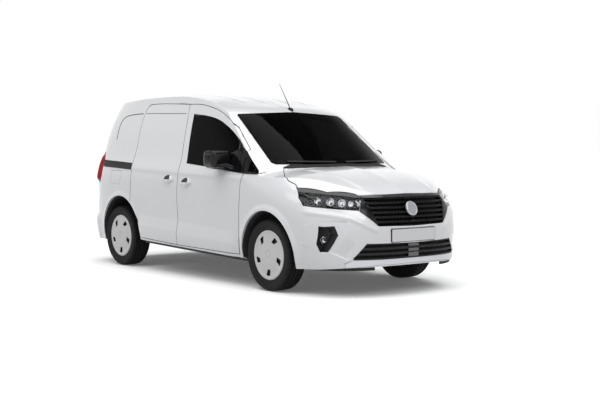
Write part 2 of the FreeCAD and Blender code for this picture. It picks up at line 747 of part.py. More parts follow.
def rear_axle():
    """Beam, spindles, trailing arms and springs."""
    middle = Vector(REAR_AXLE, -1, AXLE_HEIGHT)
    inside = Vector(REAR_AXLE, TYRE_INSIDE - size("rear_room"), AXLE_HEIGHT)
    end = Vector(REAR_AXLE, HALF_TRACK + size("tyre_width") / 3, AXLE_HEIGHT)
    axle = tilted_cylinder(size("beam_radius"), middle, inside)
    axle = axle.fuse(tilted_cylinder(size("spindle_radius"), middle, end))
    floor_low = up(LOAD_FLOOR_TOP) - size("floor_wall")
    spring_y = REAR_HOUSING_IN - 165
    spring = Part.makeCylinder(52, floor_low - AXLE_HEIGHT, Vector(REAR_AXLE, spring_y, AXLE_HEIGHT))
    points = [
        (-1474, 300), (-1394, 300), (-900, 430), (-820, 430), (-800, 536), (-900, 536),
        (-960, 470), (-1400, 352), (-1474, 352),
    ]
    real = [(along(x), floor_low if z == 536 else up(z)) for x, z in points]
    trailing = prism(real, "side", spring_y - 25, spring_y + 25)
    return whole(axle.fuse([spring, trailing]))


def tube(points, radius):
    """Round bar along straight runs, with balls at the bends."""
    shape = tilted_cylinder(radius, points[0], points[1])
    for one, two in zip(points[1:], points[2:]):
        shape = shape.fuse([Part.makeSphere(radius, one), tilted_cylinder(radius, one, two)])
    return shape


def exhaust():
    y = -across(300)
    stations = [(1140, 285), (0, 285), (-290, 285), (-420, 430), (-1750, 430), (-1860, 330), (-2060, 330)]
    pipe = tube([Vector(along(x), y, up(z)) for x, z in stations], size("exhaust_radius"))
    start = Vector(along(-450), y, up(430))
    silencer = tilted_cylinder(size("silencer_radius"), start, Vector(along(-910), y, up(430)))
    floor_low = up(LOAD_FLOOR_TOP) - size("floor_wall")
    hangers = [flat_box(along(x), along(x) + 30, y - 15, y + 15, up(430), floor_low) for x in (-680, -1700)]
    return solids_of(pipe.fuse([silencer] + hangers))


def antenna():
    lean = math.radians(size("antenna_lean"))
    foot_x = along(462)
    foot = Part.makeCylinder(3.2 * size("antenna_radius"), 60, Vector(foot_x, 0, up(1655)))
    foot = foot.cut([form(-size("fit_gap")), mirror(form(-size("fit_gap")))])
    height = foot.optimalBoundingBox().ZMax
    cap = flat_box(-50 + foot_x, foot_x + 50, -50, 50, up(1655) + 34, height + 1)
    foot = foot.cut(cap)
    start = Vector(foot_x, 0, foot.optimalBoundingBox().ZMax - 8)
    travel = Vector(-math.sin(lean), 0, math.cos(lean))
    mast = Part.makeCone(size("antenna_radius"), size("antenna_radius") / 3, size("antenna_length"), start, travel)
    return solids_of(foot.fuse(mast))


def mirror_head():
    """Door mirror on its arm from the foot of the window."""
    box = flat_box(along(490), along(680), across(850), across(1079), up(1102), up(1268))
    head = box.makeFillet(48, box.Edges)
    arm = tilted_cylinder(20, Vector(along(775), across(860), up(1085)), Vector(along(600), across(930), up(1150)))
    return solids_of(head.fuse(arm).cut(form(-size("fit_gap"))))


def gap_block(box, outline, maker):
    """Fills the gap round a door within the box, as deep as the outer skin."""
    strip = box.common(maker(outline, size("shut_gap"))).cut(maker(outline, size("fit_gap")))
    return between(strip, size("glass_wall"), size("skin_depth"))


def hinge_blocks():
    """Blocks at the front door's leading edge, and where the other doors meet the frame."""
    blocks = []
    for low in (440, 800):
        box = flat_box(along(820), along(900), 300, OUTSIDE, up(low), up(low + 80))
        blocks.append(gap_block(box, FRONT_DOOR, side_prism))
    for low in (980, 1560):
        box = flat_box(along(-1220), along(-1140), 300, OUTSIDE, up(low), up(low + 60))
        blocks.append(gap_block(box, SLIDING_DOOR, side_prism))
    for low in (700, 1300):
        box = flat_box(REAR - BEYOND, along(-1700), across(600), OUTSIDE, up(low), up(low + 80))
        blocks.append(gap_block(box, REAR_DOORS, rear_prism))
    return Part.makeCompound([s for block in blocks for s in block.Solids])


# Sub-parts whose shape is worked out from the body form
PARTS = []


def feature(label, shape):
    item = doc.addObject("Part::Feature", label)
    item.Label = label
    item.Shape = shape
    item.Placement = Placement()
    PARTS.append(item)


def sided(label, shape):
    feature(label + "_left", shape)
    feature(label + "_right", mirror(shape))


frame_left = side_frame()
flap_cut = side_prism(FUEL_FLAP, size("trim_gap")).cut(form(size("glass_wall") + size("fit_gap")))
feature("side_frame_left", frame_left)
feature("side_frame_right", mirror(solids_of(frame_left.cut(flap_cut))))
feature("fuel_flap", mirror(pane(FUEL_FLAP, side_prism)))
sided("front_door", front_door())
sided("door_glass", pane(DOOR_GLASS, side_prism))
sided("door_mirror", mirror_head())
sided("rear_door", rear_door())
feature("roof_panel", roof_panel())
feature("front_wings", pair(front_wing()))
feature("bonnet", whole(between(bonnet_prism(), 0, size("bonnet_wall"))))
feature("cowl", cowl_strip())
feature("front_bumper", front_bumper())
feature("upper_grille", barred_grille(UPPER_GRILLE, 7, size("skin_depth")))
feature("lower_grille", barred_grille(LOWER_GRILLE, 3, size("skin_depth")))
feature("chin_strip", whole(front_prism(CHIN).common(WALLS).cut(UNDER)))
feature("headlamps", pair(headlamp()))
feature("fog_lamps", pair(front_prism(FOG_POCKET).common(form(size("skin_depth"))).cut(lining())))
feature("windscreen", whole(pane(SCREEN, screen_prism)))
feature("quarter_glasses", pair(pane(QUARTER_GLASS, side_prism)))
feature("sliding_doors", pair(sliding_door()))
feature("slide_rails", pair(between(side_prism(SLIDE_RAIL), -RAISED, -size("fit_gap"))))
feature("tail_lamps", pair(tail_lamp()))
feature("rear_bumper", rear_bumper())
feature("sill_strips", pair(side_prism(SILL_STRIP).common(form(size("skin_depth"))).cut(lining())))
feature("wipers", pair(between(screen_prism(WIPER), -RAISED, -size("fit_gap"))))
feature("antenna", antenna())
feature("hinge_blocks", pair(hinge_blocks()))
feature("floor_pan", floor_pan())
feature("bulkhead", bulkhead())
feature("partition", partition())
feature("dashboard", dashboard())
feature("front_subframe", subframe())
sided("knuckle", knuckle())
feature("rear_axle", rear_axle())
feature("exhaust", exhaust())


# Sub-parts made as bodies with sketches
def plane_of(body, role):
    for item in body.Origin.OriginFeatures:
        if item.Role == role:
            return item


def sketch_of(body, name, role, points):
    """Closed outline of straight lines. Each corner is two formulas on the sheet's names."""
    sketch = body.newObject("Sketcher::SketchObject", name)
    sketch.AttachmentSupport = [(plane_of(body, role), "")]
    sketch.MapMode = "FlatFace"
    first = [(10.0 * math.cos(i), 10.0 * math.sin(i), 0) for i in range(len(points))]
    for i in range(len(points)):
        one = Vector(*first[i])
        two = Vector(*first[(i + 1) % len(points)])
        sketch.addGeometry(Part.LineSegment(one, two), False)
    for i in range(len(points)):
        sketch.addConstraint(Sketcher.Constraint("Coincident", i - 1 if i else len(points) - 1, 2, i, 1))
    for i, (first_formula, second_formula) in enumerate(points):
        for kind, formula in (("DistanceX", first_formula), ("DistanceY", second_formula)):
            index = sketch.addConstraint(Sketcher.Constraint(kind, -1, 1, i, 1, 1.0))
            sketch.setExpression("Constraints[%d]" % index, formula)
    return sketch


def new_body(label):
    body = doc.addObject("PartDesign::Body", label)
    body.Label = label
    PARTS.append(body)
    return body


def turned(body, points):
    """Outline of radius and height turned about the body's own upright axis."""
    sketch = sketch_of(body, "Outline", "XZ_Plane", points)
    feature_turned = body.newObject("PartDesign::Revolution", "Turned")
    feature_turned.Profile = sketch
    feature_turned.ReferenceAxis = (sketch, ["V_Axis"])
    feature_turned.Angle = 360
    return feature_turned


TYRE_PROFILE = [
    ("Sizes.rim_radius", "0.38 * Sizes.tyre_width"),
    ("Sizes.rim_radius + 18", "0.41 * Sizes.tyre_width"),
    ("Sizes.rim_radius + 34", "0.47 * Sizes.tyre_width"),
    ("0.5 * (Sizes.rim_radius + Sizes.tyre_radius)", "0.5 * Sizes.tyre_width"),
    ("Sizes.tyre_radius - 28", "0.48 * Sizes.tyre_width"),
    ("Sizes.tyre_radius - 9", "0.42 * Sizes.tyre_width"),
    ("Sizes.tyre_radius", "0.34 * Sizes.tyre_width"),
]
TYRE_PROFILE += [(radius, "-" + height) for radius, height in reversed(TYRE_PROFILE)]
BORE = "Sizes.spindle_radius + Sizes.fit_gap"
WHEEL_PROFILE = [
    (BORE, "-0.1 * Sizes.tyre_width"),
    ("Sizes.spindle_radius + 42", "-0.1 * Sizes.tyre_width"),
    ("Sizes.spindle_radius + 42", "0.26 * Sizes.tyre_width"),
    ("Sizes.rim_radius - 8", "0.26 * Sizes.tyre_width"),
    ("Sizes.rim_radius - 8", "-0.38 * Sizes.tyre_width"),
    ("Sizes.rim_radius", "-0.38 * Sizes.tyre_width"),
    ("Sizes.rim_radius", "0.385 * Sizes.tyre_width"),
    ("Sizes.cover_radius", "0.415 * Sizes.tyre_width"),
    ("Sizes.cover_radius", "0.435 * Sizes.tyre_width"),
    ("0.6 * Sizes.cover_radius", "0.46 * Sizes.tyre_width"),
    ("0", "0.48 * Sizes.tyre_width"),
    ("0", "0.36 * Sizes.tyre_width"),
    (BORE, "0.36 * Sizes.tyre_width"),
]
SLOT = [
    ("0.5 * Sizes.cover_radius", "-8"), ("0.84 * Sizes.cover_radius", "-20"),
    ("0.84 * Sizes.cover_radius", "6"), ("0.54 * Sizes.cover_radius", "8"),
]
SEAT_PROFILE = [
    ("0", "0"), ("Sizes.seat_depth - 120", "0"), ("Sizes.seat_depth - 80", "Sizes.cushion_top - 140"),
    ("Sizes.seat_depth", "Sizes.cushion_top - 100"), ("Sizes.seat_depth + 10", "Sizes.cushion_top - 20"),
    ("Sizes.seat_depth - 30", "Sizes.cushion_top + 10"), ("150", "Sizes.cushion_top - 20"),
    ("30", "Sizes.back_top"), ("20", "Sizes.back_top + 200"), ("-80", "Sizes.back_top + 210"),
    ("-90", "Sizes.back_top"), ("0", "Sizes.cushion_top - 60"),
]
SEAT_BACK_X = 130
STEERING_PLACE = (650, 390, 1000)
STEERING_TILT = 62


def wheel_place(x, y, side):
    """Turns a body's upright axis to point away from the van, at a wheel's middle."""
    return Placement(Vector(x, y, AXLE_HEIGHT), Rotation(Vector(1, 0, 0), -90 * side))


def tyre(label):
    body = new_body(label)
    turned(body, TYRE_PROFILE)
    return body


def wheel(label):
    body = new_body(label)
    turned(body, WHEEL_PROFILE)
    slot = sketch_of(body, "Slot", "XY_Plane", SLOT)
    slot.setExpression("AttachmentOffset.Base.z", "0.5 * Sizes.tyre_width")
    pocket = body.newObject("PartDesign::Pocket", "SlotCut")
    pocket.Profile = slot
    pocket.setExpression("Length", "0.16 * Sizes.tyre_width")
    ring = body.newObject("PartDesign::PolarPattern", "Slots")
    ring.Originals = [pocket]
    ring.Axis = (slot, ["N_Axis"])
    ring.Angle = 360
    ring.setExpression("Occurrences", "Sizes.cover_slots")
    body.Tip = ring
    return body


def seat(label, y):
    body = new_body(label)
    outline = sketch_of(body, "Outline", "XZ_Plane", SEAT_PROFILE)
    pad = body.newObject("PartDesign::Pad", "Width")
    pad.Profile = outline
    pad.Midplane = True
    pad.setExpression("Length", "Sizes.seat_width")
    body.Placement = Placement(Vector(along(SEAT_BACK_X), y, up(CAB_FLOOR_TOP)), Rotation())
    return body


def engine_block():
    block = doc.addObject("Part::Box", "engine_block")
    block.Label = "engine_block"
    block.setExpression("Length", "Sizes.engine_length")
    block.setExpression("Width", "Sizes.engine_width")
    block.setExpression("Height", "Sizes.engine_height")
    rail_high = up(CAB_FLOOR_TOP) - size("floor_wall")
    corner = Vector(along(BULKHEAD) + 70, -size("engine_width") / 2, rail_high + size("fit_gap"))
    block.Placement = Placement(corner, Rotation())
    PARTS.append(block)


def steering_wheel():
    """Rim, three spokes, boss and column, tilted towards the driver."""
    radius = size("steering_wheel_radius")
    rim = Part.makeTorus(radius, size("steering_rim"))
    boss = Part.makeCylinder(0.35 * radius, 36, Vector(0, 0, -36))
    column = Part.makeCylinder(0.16 * radius, 2 * radius, Vector(0, 0, -2 * radius))
    spokes = []
    for angle in (0, 180, 270):
        spoke = flat_box(0, radius, -18, 18, -14, -4)
        spoke.rotate(Vector(0, 0, 0), Vector(0, 0, 1), angle)
        spokes.append(spoke)
    wheel_shape = rim.fuse([boss, column] + spokes)
    x, y, z = STEERING_PLACE
    turn = Rotation(Vector(0, 1, 0), -STEERING_TILT) * Rotation(Vector(0, 0, 1), 90)
    wheel_shape.Placement = Placement(Vector(along(x), across(y), up(z)), turn)
    return solids_of(wheel_shape.cut(side_prism(DASHBOARD, size("fit_gap"), -1)))


for end, axle_x in (("front", FRONT_AXLE), ("rear", REAR_AXLE)):
    for name, side in (("left", 1), ("right", -1)):
        place = wheel_place(axle_x, side * HALF_TRACK, side)
        tyre("tyre_%s_%s" % (end, name)).Placement = place
        wheel("wheel_%s_%s" % (end, name)).Placement = place
seat("seat_left", size("seat_spread") / 2)
seat("seat_right", -size("seat_spread") / 2)
engine_block()
feature("steering_wheel", steering_wheel())

doc.recompute()
for item in doc.Objects:
    if "Invalid" in item.State or "Error" in item.State:
        raise SystemExit(item.Name + " is not right: " + str(item.State))
os.makedirs("parts", exist_ok=True)
for item in PARTS:
    shape = item.Shape
    if shape.isNull() or not shape.isValid() or not shape.Solids:
        raise SystemExit(item.Label + " has no valid shape")
    shape.exportStep("parts/" + item.Label + ".step")
    print(item.Label, len(shape.Solids), "solids,", round(shape.Volume / 1e6, 2), "litres")
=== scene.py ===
# %% [markdown]
# # A small panel van
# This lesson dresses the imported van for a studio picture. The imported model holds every
# sub-part at its real place, in metres, with X forward, Y to the driver's left and Z up.
# What the solids leave plain, such as smooth painted skins, tyre tread, lamps, seams and
# cloth, is modelled here, and each new piece rides on the body that carries it.

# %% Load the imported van
import json
import math

import bmesh
import bpy
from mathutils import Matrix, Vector
from mathutils.bvhtree import BVHTree

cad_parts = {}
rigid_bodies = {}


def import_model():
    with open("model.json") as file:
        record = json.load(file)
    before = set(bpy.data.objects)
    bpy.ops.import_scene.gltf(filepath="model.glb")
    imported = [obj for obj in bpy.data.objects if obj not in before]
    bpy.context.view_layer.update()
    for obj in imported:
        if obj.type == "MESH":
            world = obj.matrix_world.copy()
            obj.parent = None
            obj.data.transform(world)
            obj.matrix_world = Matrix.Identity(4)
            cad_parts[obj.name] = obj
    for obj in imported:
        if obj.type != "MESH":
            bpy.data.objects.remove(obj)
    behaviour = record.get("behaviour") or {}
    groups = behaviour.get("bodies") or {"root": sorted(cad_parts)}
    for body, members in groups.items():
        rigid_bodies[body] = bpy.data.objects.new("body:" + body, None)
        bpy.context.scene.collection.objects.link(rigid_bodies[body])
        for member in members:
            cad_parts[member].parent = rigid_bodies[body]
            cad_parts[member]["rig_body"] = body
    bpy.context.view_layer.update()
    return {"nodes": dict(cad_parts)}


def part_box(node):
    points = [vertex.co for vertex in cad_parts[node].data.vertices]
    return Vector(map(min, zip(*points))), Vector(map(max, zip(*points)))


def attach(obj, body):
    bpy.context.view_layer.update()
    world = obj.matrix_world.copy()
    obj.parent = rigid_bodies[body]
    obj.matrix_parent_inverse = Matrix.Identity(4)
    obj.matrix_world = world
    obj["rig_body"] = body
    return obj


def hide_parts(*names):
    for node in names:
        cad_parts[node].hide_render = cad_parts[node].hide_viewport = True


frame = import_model()
nodes = frame["nodes"]

# %% [markdown]
# Blender's operators act on whatever is selected, and loading leaves everything selected.
# So each step first picks exactly the pieces that it works on. A finished piece has its
# place in its mesh, which transform_apply does.

# %% Helpers for picking and settling pieces


def pick(*pieces):
    if bpy.context.mode != "OBJECT":
        bpy.ops.object.mode_set(mode="OBJECT")
    bpy.ops.object.select_all(action="DESELECT")
    for piece in pieces:
        piece.select_set(True)
    bpy.context.view_layer.objects.active = pieces[0]


def settle(piece):
    pick(piece)
    bpy.ops.object.transform_apply(location=True, rotation=True, scale=True)


def edit(piece, mode="FACE"):
    pick(piece)
    bpy.ops.object.mode_set(mode="EDIT")
    bpy.ops.mesh.select_mode(type=mode)
    bpy.ops.mesh.select_all(action="SELECT")


def leave_edit():
    bpy.ops.object.mode_set(mode="OBJECT")


def smooth(piece, degrees=30):
    pick(piece)
    bpy.ops.object.shade_smooth_by_angle(angle=math.radians(degrees))


def modify(piece, kind, **settings):
    """Gives a piece one modifier with its settings and applies it."""
    pick(piece)
    modifier = piece.modifiers.new(kind.lower(), kind)
    for setting, value in settings.items():
        setattr(modifier, setting, value)
    bpy.ops.object.modifier_apply(modifier=modifier.name)


def thicken(piece, depth, offset=-1):
    modify(piece, "SOLIDIFY", thickness=depth, offset=offset)


def add_piece(name, data):
    piece = bpy.data.objects.new(name, data)
    bpy.context.scene.collection.objects.link(piece)
    return piece


def dress(piece, *materials):
    """Gives a piece these finishes and no others."""
    piece.data.materials.clear()
    for material in materials:
        piece.data.materials.append(material)


# %% [markdown]
# ## Finishes
# Each finish is one node tree: a noise mottles the colour a little and also varies the gloss,
# and a fine one is the grain of the surface, as bump. The numbers that are the same all over
# sit on the shader's own sockets.

# %% Make a finish


def add_node(tree, kind, values=(), feeds=()):
    """Adds a node, sets the sockets in values and links the sockets in feeds."""
    node = tree.nodes.new("ShaderNode" + kind)
    for socket, value in dict(values).items():
        node.inputs[socket].default_value = value
    for socket, source in dict(feeds).items():
        tree.links.new(source, node.inputs[socket])
    return node


def finish(
    name, colour, rough, metal=0.0, coat=0.0, mottle=0.04, grain=0.0, grain_size=0.002, shine=0.5,
):
    """Procedural finish. grain is the bump's depth in metres, grain_size its size."""
    material = bpy.data.materials.new(name)
    material.use_nodes = True
    tree = material.node_tree
    shader = tree.nodes["Principled BSDF"]
    shader.inputs["Metallic"].default_value = metal
    shader.inputs["Coat Weight"].default_value = coat
    shader.inputs["Coat Roughness"].default_value = 0.04
    shader.inputs["Specular IOR Level"].default_value = shine
    place = add_node(tree, "TexCoord").outputs["Object"]
    cloud = add_node(tree, "TexNoise", {"Scale": 3.0, "Detail": 5.0}, {"Vector": place})
    cloud = cloud.outputs["Fac"]
    tint = add_node(tree, "ValToRGB", {}, {"Fac": cloud})
    tint.color_ramp.elements[0].position = 0.3
    tint.color_ramp.elements[1].position = 0.7
    tint.color_ramp.elements[0].color = [c * (1 - mottle) for c in colour] + [1]
    tint.color_ramp.elements[1].color = [min(1, c * (1 + mottle)) for c in colour] + [1]
    tree.links.new(tint.outputs["Color"], shader.inputs["Base Color"])
    ends = {"To Min": rough * 0.85, "To Max": min(1, rough * 1.15)}
    gloss = add_node(tree, "MapRange", ends, {"Value": cloud})
    tree.links.new(gloss.outputs["Result"], shader.inputs["Roughness"])
    if grain:
        fine = {"Scale": 1.0 / grain_size, "Detail": 2.0}
        grains = add_node(tree, "TexNoise", fine, {"Vector": place})
        bump = add_node(tree, "Bump", {"Distance": grain}, {"Height": grains.outputs["Fac"]})
        tree.links.new(bump.outputs["Normal"], shader.inputs["Normal"])
    return material


PAINT = finish("white_paint", (0.80, 0.81, 0.825), 0.30, coat=1.0, mottle=0.006)
GRAINED = finish(
    "grained_black", (0.009, 0.009, 0.010), 0.55, grain=0.0003, grain_size=0.0025, shine=0.3,
)
GLOSS_BLACK = finish("gloss_black", (0.004, 0.004, 0.005), 0.16, shine=0.3)
DARK_BAND = finish("dark_band", (0.035, 0.036, 0.040), 0.18, coat=0.2)
SILVER = finish("satin_silver", (0.50, 0.51, 0.53), 0.32, metal=0.85)
CHROME = finish("lamp_chrome", (0.75, 0.76, 0.78), 0.10, metal=1.0, mottle=0.01)
COVER = finish("wheel_cover_silver", (0.70, 0.705, 0.685), 0.42, coat=0.3, mottle=0.02)
RUBBER = finish(
    "tyre_rubber", (0.007, 0.007, 0.0075), 0.75, grain=0.0003, grain_size=0.003, shine=0.25,
)
WHEEL_STEEL = finish("wheel_steel", (0.02, 0.02, 0.021), 0.45, metal=0.4)
# Black rubber for the locks, and painted shade along the groove under the roof rail.
SEAL_AND_SHADE = finish("rubber_seal", (0.012, 0.012, 0.012), 0.5)
CHASSIS = finish("chassis_black", (0.025, 0.025, 0.027), 0.6, grain=0.0003, grain_size=0.004)
STEEL = finish("bare_steel", (0.32, 0.32, 0.33), 0.42, metal=0.9, mottle=0.1)
IRON = finish("cast_iron", (0.07, 0.07, 0.07), 0.65, metal=0.5, grain=0.0006, grain_size=0.003)
TRIM = finish("cab_trim", (0.035, 0.035, 0.038), 0.6, grain=0.0003, grain_size=0.002)
CLOTH = finish("seat_cloth", (0.045, 0.046, 0.05), 0.9, grain=0.0006, grain_size=0.0016)
RED_LAMP = finish("red_lamp", (0.36, 0.003, 0.008), 0.3, shine=0.08)
GRILLE_BLACK = finish("grille_black", (0.003, 0.003, 0.0035), 0.35, shine=0.15)
LIGHT_GUIDE = finish("light_guide", (0.62, 0.63, 0.65), 0.25, coat=0.3)
SENSOR = finish("sensor_grey", (0.10, 0.102, 0.106), 0.3, coat=0.3)
MIRROR = finish("mirror_glass", (0.80, 0.81, 0.83), 0.03, metal=1.0, mottle=0.005)
PLATE = finish("plate_white", (0.78, 0.79, 0.80), 0.35, coat=0.3, mottle=0.01)
# Dark grey as painted shade: in the gaps, in the handle cups and along a groove.
SHADE = finish("gap_shade", (0.03, 0.031, 0.033), 0.7)
LINING = finish("load_lining", (0.30, 0.31, 0.32), 0.6, grain=0.0003, grain_size=0.003)


def glass(name, colour, bend=1.2, rough=0.02):
    """Tinted glass. The tint is the colour of what comes through, and bend its index."""
    material = finish(name, colour, rough, mottle=0.01, shine=0.2)
    shader = material.node_tree.nodes["Principled BSDF"]
    shader.inputs["Transmission Weight"].default_value = 1.0
    shader.inputs["IOR"].default_value = bend
    return material


WINDOW = glass("tinted_window", (0.045, 0.048, 0.052), 1.1)
LENS = glass("clear_lens", (0.92, 0.93, 0.94))

# %% [markdown]
# ## Painted skins
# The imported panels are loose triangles, so they shade in flats. A copy is merged into one
# skin and shaded smooth between its real edges. The solid stays as the frame and is
# replaced by the copy.

# %% Smooth copies of the panels


def skin(node, material, degrees=28):
    """Merged, smooth copy of a CAD node, which replaces it."""
    piece = add_piece(node + "_skin", nodes[node].data.copy())
    edit(piece, "VERT")
    bpy.ops.mesh.remove_doubles(threshold=0.00003)
    leave_edit()
    smooth(piece, degrees)
    dress(piece, material)
    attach(piece, nodes[node]["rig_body"])
    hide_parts(node)
    return piece


PAINTED = [
    "side_frame_left", "side_frame_right", "fuel_flap", "front_door_left", "front_door_right",
    "rear_door_left", "rear_door_right", "roof_panel", "front_wings", "bonnet", "front_bumper",
    "sliding_doors", "rear_bumper",
]
painted_skins = {node: skin(node, PAINT) for node in PAINTED}
print("painted skins:", len(painted_skins))

# %% [markdown]
# Only what faces the open air gets the white paint. A ray leaves each face along its normal. If it
# escapes, the face is outer skin. If it soon meets something, the face lines a gap and gets a dark
# painted shade, though the sheet there is white as well. If it meets something further off, the
# face is inside the van or in a wheel arch.

# %% Sort the faces of the painted skins
SMALL_OUTSIDE = {"door_mirror_left", "door_mirror_right", "wipers", "antenna", "slide_rails"}


def rays_of(pieces):
    """A tree of the pieces' faces, for casting rays."""
    points, faces = [], []
    for piece in pieces:
        start = len(points)
        points += [vertex.co.copy() for vertex in piece.data.vertices]
        faces += [[start + i for i in polygon.vertices] for polygon in piece.data.polygons]
    return BVHTree.FromPolygons(points, faces)


van_rays = rays_of([nodes[name] for name in nodes if name not in SMALL_OUTSIDE])
OUTER, GAP, CAB, LOAD = range(4)
# Within GAP_REACH of something a face lines a gap. The load space lies behind CAB_END and
# over LINING_FOOT. All are in metres.
GAP_REACH, CAB_END, LINING_FOOT = 0.06, -0.215, 0.8


def ahead(place, normal):
    """What a ray meets that leaves a face at a place: its first item is None for open air."""
    return van_rays.ray_cast(place + normal * 0.0006, normal)


def sort_faces(piece):
    dress(piece, PAINT, SHADE, TRIM, LINING)
    for polygon in piece.data.polygons:
        hit = ahead(polygon.center, polygon.normal)
        if hit[0] is None:
            polygon.material_index = OUTER
        # A face in a gap is white sheet; its dark finish is painted shade.
        elif hit[3] < GAP_REACH:
            polygon.material_index = GAP
        else:
            in_cab = polygon.center.x > CAB_END or polygon.center.z < LINING_FOOT
            polygon.material_index = CAB if in_cab else LOAD


def outer_points(piece):
    """Places of the points that belong to a skin's outer faces."""
    outer = {i for p in piece.data.polygons if p.material_index == OUTER for i in p.vertices}
    return [piece.data.vertices[i].co for i in outer]


outer_count = 0
for piece in painted_skins.values():
    sort_faces(piece)
    outer_count += sum(polygon.material_index == OUTER for polygon in piece.data.polygons)
print("outer faces:", outer_count)

# %% [markdown]
# ## Pressed forms
# The press shop's lines are a few millimetres deep: wheel flares, the line low on the
# doors, the shoulder under the windows, handle cups, roof ribs and the bonnet's edges. Each
# skin is cut along evenly spaced planes, and then its outer points are pushed.

# %% Cut the skins into a grid


def cut_faces(mesh, faces, place, normal):
    """Cuts faces along one plane and returns what they became."""
    rim = {item for face in faces for item in list(face.verts) + list(face.edges)}
    result = bmesh.ops.bisect_plane(
        mesh, geom=faces + list(rim), plane_co=place, plane_no=normal, dist=0.0001,
    )
    return [item for item in result["geom"] if isinstance(item, bmesh.types.BMFace)]


def cut_across(mesh, faces, axis, places):
    """Cuts faces across an axis at the middle place, then each side at its own places."""
    if not places or not faces:
        return
    half = len(places) // 2
    normal = [float(axis == i) for i in range(3)]
    faces = cut_faces(mesh, faces, [places[half] * n for n in normal], normal)
    low = [face for face in faces if face.calc_center_median()[axis] < places[half]]
    high = [face for face in faces if face.calc_center_median()[axis] >= places[half]]
    cut_across(mesh, low, axis, places[:half])
    cut_across(mesh, high, axis, places[half + 1:])


def cut_grid(piece, first, second, extra=None):
    """Cuts the outer faces of a skin at the places given for two axes."""
    mesh = bmesh.new()
    mesh.from_mesh(piece.data)
    for axis, places in (first, second):
        faces = [face for face in mesh.faces if face.material_index == OUTER]
        cut_across(mesh, faces, axis, sorted(places))
    if extra:
        cut_faces(mesh, [face for face in mesh.faces if face.material_index == OUTER], *extra)
    mesh.to_mesh(piece.data)
    mesh.free()


def steps(low, high, step):
    return [low + i * step for i in range(int(round((high - low) / step)) + 1)]


def fade(value, start, end):
    """Smooth step from 0 at start to 1 at end."""
    share = min(1.0, max(0.0, (value - start) / (end - start)))
    return share * share * (3 - 2 * share)


# %% [markdown]
# The sides get their forms from one function of the place: how far out the sheet is pushed.
# Flares, the line low on the doors, the shoulder and the handle cups are added up in it.
# Because all panels ask the same function, a form runs on over the gaps between them.

# %% Side forms: flares, door line, shoulder and cups
# Each arch: middle, half width, rise above the axle, reach of the flare and its height.
ARCHES = [(1.290, 0.376, 0.404, 0.062, 0.014), (-1.363, 0.412, 0.442, 0.055, 0.011)]
AXLE = 0.326
HANDLES = [(-0.382, 0.970), (-0.040, 0.948)]
LINE_FALL = 0.0416
LINE_DEPTH, SHOULDER_HEIGHT, CUP_DEPTH = 0.026, 0.010, 0.028


def door_line(x):
    """Height of the pressed line low on the doors."""
    return 0.577 - (x + 0.70) * LINE_FALL


def side_push(x, z):
    """How far a side skin goes out at a place, in metres."""
    push = 0.0
    for middle, half, rise, width, height in ARCHES:
        ring = math.hypot((x - middle) / half, max(0.0, z - AXLE) / rise)
        beyond = (ring - 1) * (half + rise) / 2
        push += height * (1 - fade(beyond, 0.012, width)) * (1 - fade(z, 0.86, 0.95))
    on_doors = fade(x, -1.06, -0.96) * (1 - fade(x, 0.70, 0.86))
    push -= min(LINE_DEPTH, 0.22 * max(0.0, door_line(x) - z)) * on_doors
    shoulder = 1.052 - 0.03 * (x + 0.4)
    spread = 0.09 if z > shoulder else 0.03
    crest = SHOULDER_HEIGHT * math.exp(-(((z - shoulder) / spread) ** 2))
    push += crest * (1 - fade(x, 0.75, 1.1)) * fade(x, -1.9, -1.5)
    for cup_x, cup_z in HANDLES:
        away = math.hypot((x - cup_x) / 0.085, (z - cup_z) / 0.052)
        push -= CUP_DEPTH * (1 - fade(away, 0.5, 1.0))
    return push


def shade_cups(piece):
    """Painted shadow: the upper half of each handle cup takes the dark gap finish."""
    for polygon in piece.data.polygons:
        middle = polygon.center
        for cup_x, cup_z in HANDLES:
            away = math.hypot((middle.x - cup_x) / 0.052, (middle.z - cup_z - 0.012) / 0.032)
            if away < 1 and middle.z > cup_z and polygon.material_index == OUTER:
                polygon.material_index = GAP


SIDE_SKINS = [
    "side_frame_left", "side_frame_right", "front_door_left", "front_door_right", "sliding_doors",
    "front_wings", "fuel_flap",
]
DOOR_LINE = ([0, 0, door_line(0)], [LINE_FALL, 0, 1])


def push_sides(piece):
    for place in outer_points(piece):
        if abs(place.y) > 0.55:
            place.y += math.copysign(side_push(place.x, place.z), place.y)


for name in SIDE_SKINS:
    piece = painted_skins[name]
    low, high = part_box(name)
    along = steps(low[0] + 0.01, high[0], 0.03)
    upright = steps(low[2] + 0.01, min(1.2, high[2]), 0.024)
    if "door" in name:
        # A finer grid round the handle cups.
        along += steps(-0.484, 0.064, 0.009)
        upright += steps(0.892, 1.026, 0.007)
    cut_grid(piece, (0, along), (2, upright), DOOR_LINE if "door" in name else None)
    push_sides(piece)
    if "door" in name:
        shade_cups(piece)
    print(name, "faces after the push:", len(piece.data.polygons))

# %% [markdown]
# Four long ribs stiffen the roof, and the bonnet's middle stands a little proud of its
# edges. Both are heights that depend on the place, so a push along Z makes them.

# %% Roof ribs and bonnet edges
RIBS = (0.16, 0.40)
RIB_DEPTH, BONNET_CROWN = 0.006, 0.009


def roof_push(x, y):
    rib = sum(math.exp(-(((abs(y) - place) / 0.016) ** 2)) for place in RIBS)
    return -RIB_DEPTH * rib * fade(x, -1.95, -1.8) * (1 - fade(x, 0.15, 0.3))


def bonnet_push(x, y):
    edge = 0.50 - 0.14 * (x - 1.3)
    middle = 1 - fade(abs(y), edge - 0.012, edge + 0.035)
    return BONNET_CROWN * middle * fade(x, 1.30, 1.42) * (1 - fade(x, 1.95, 2.1))


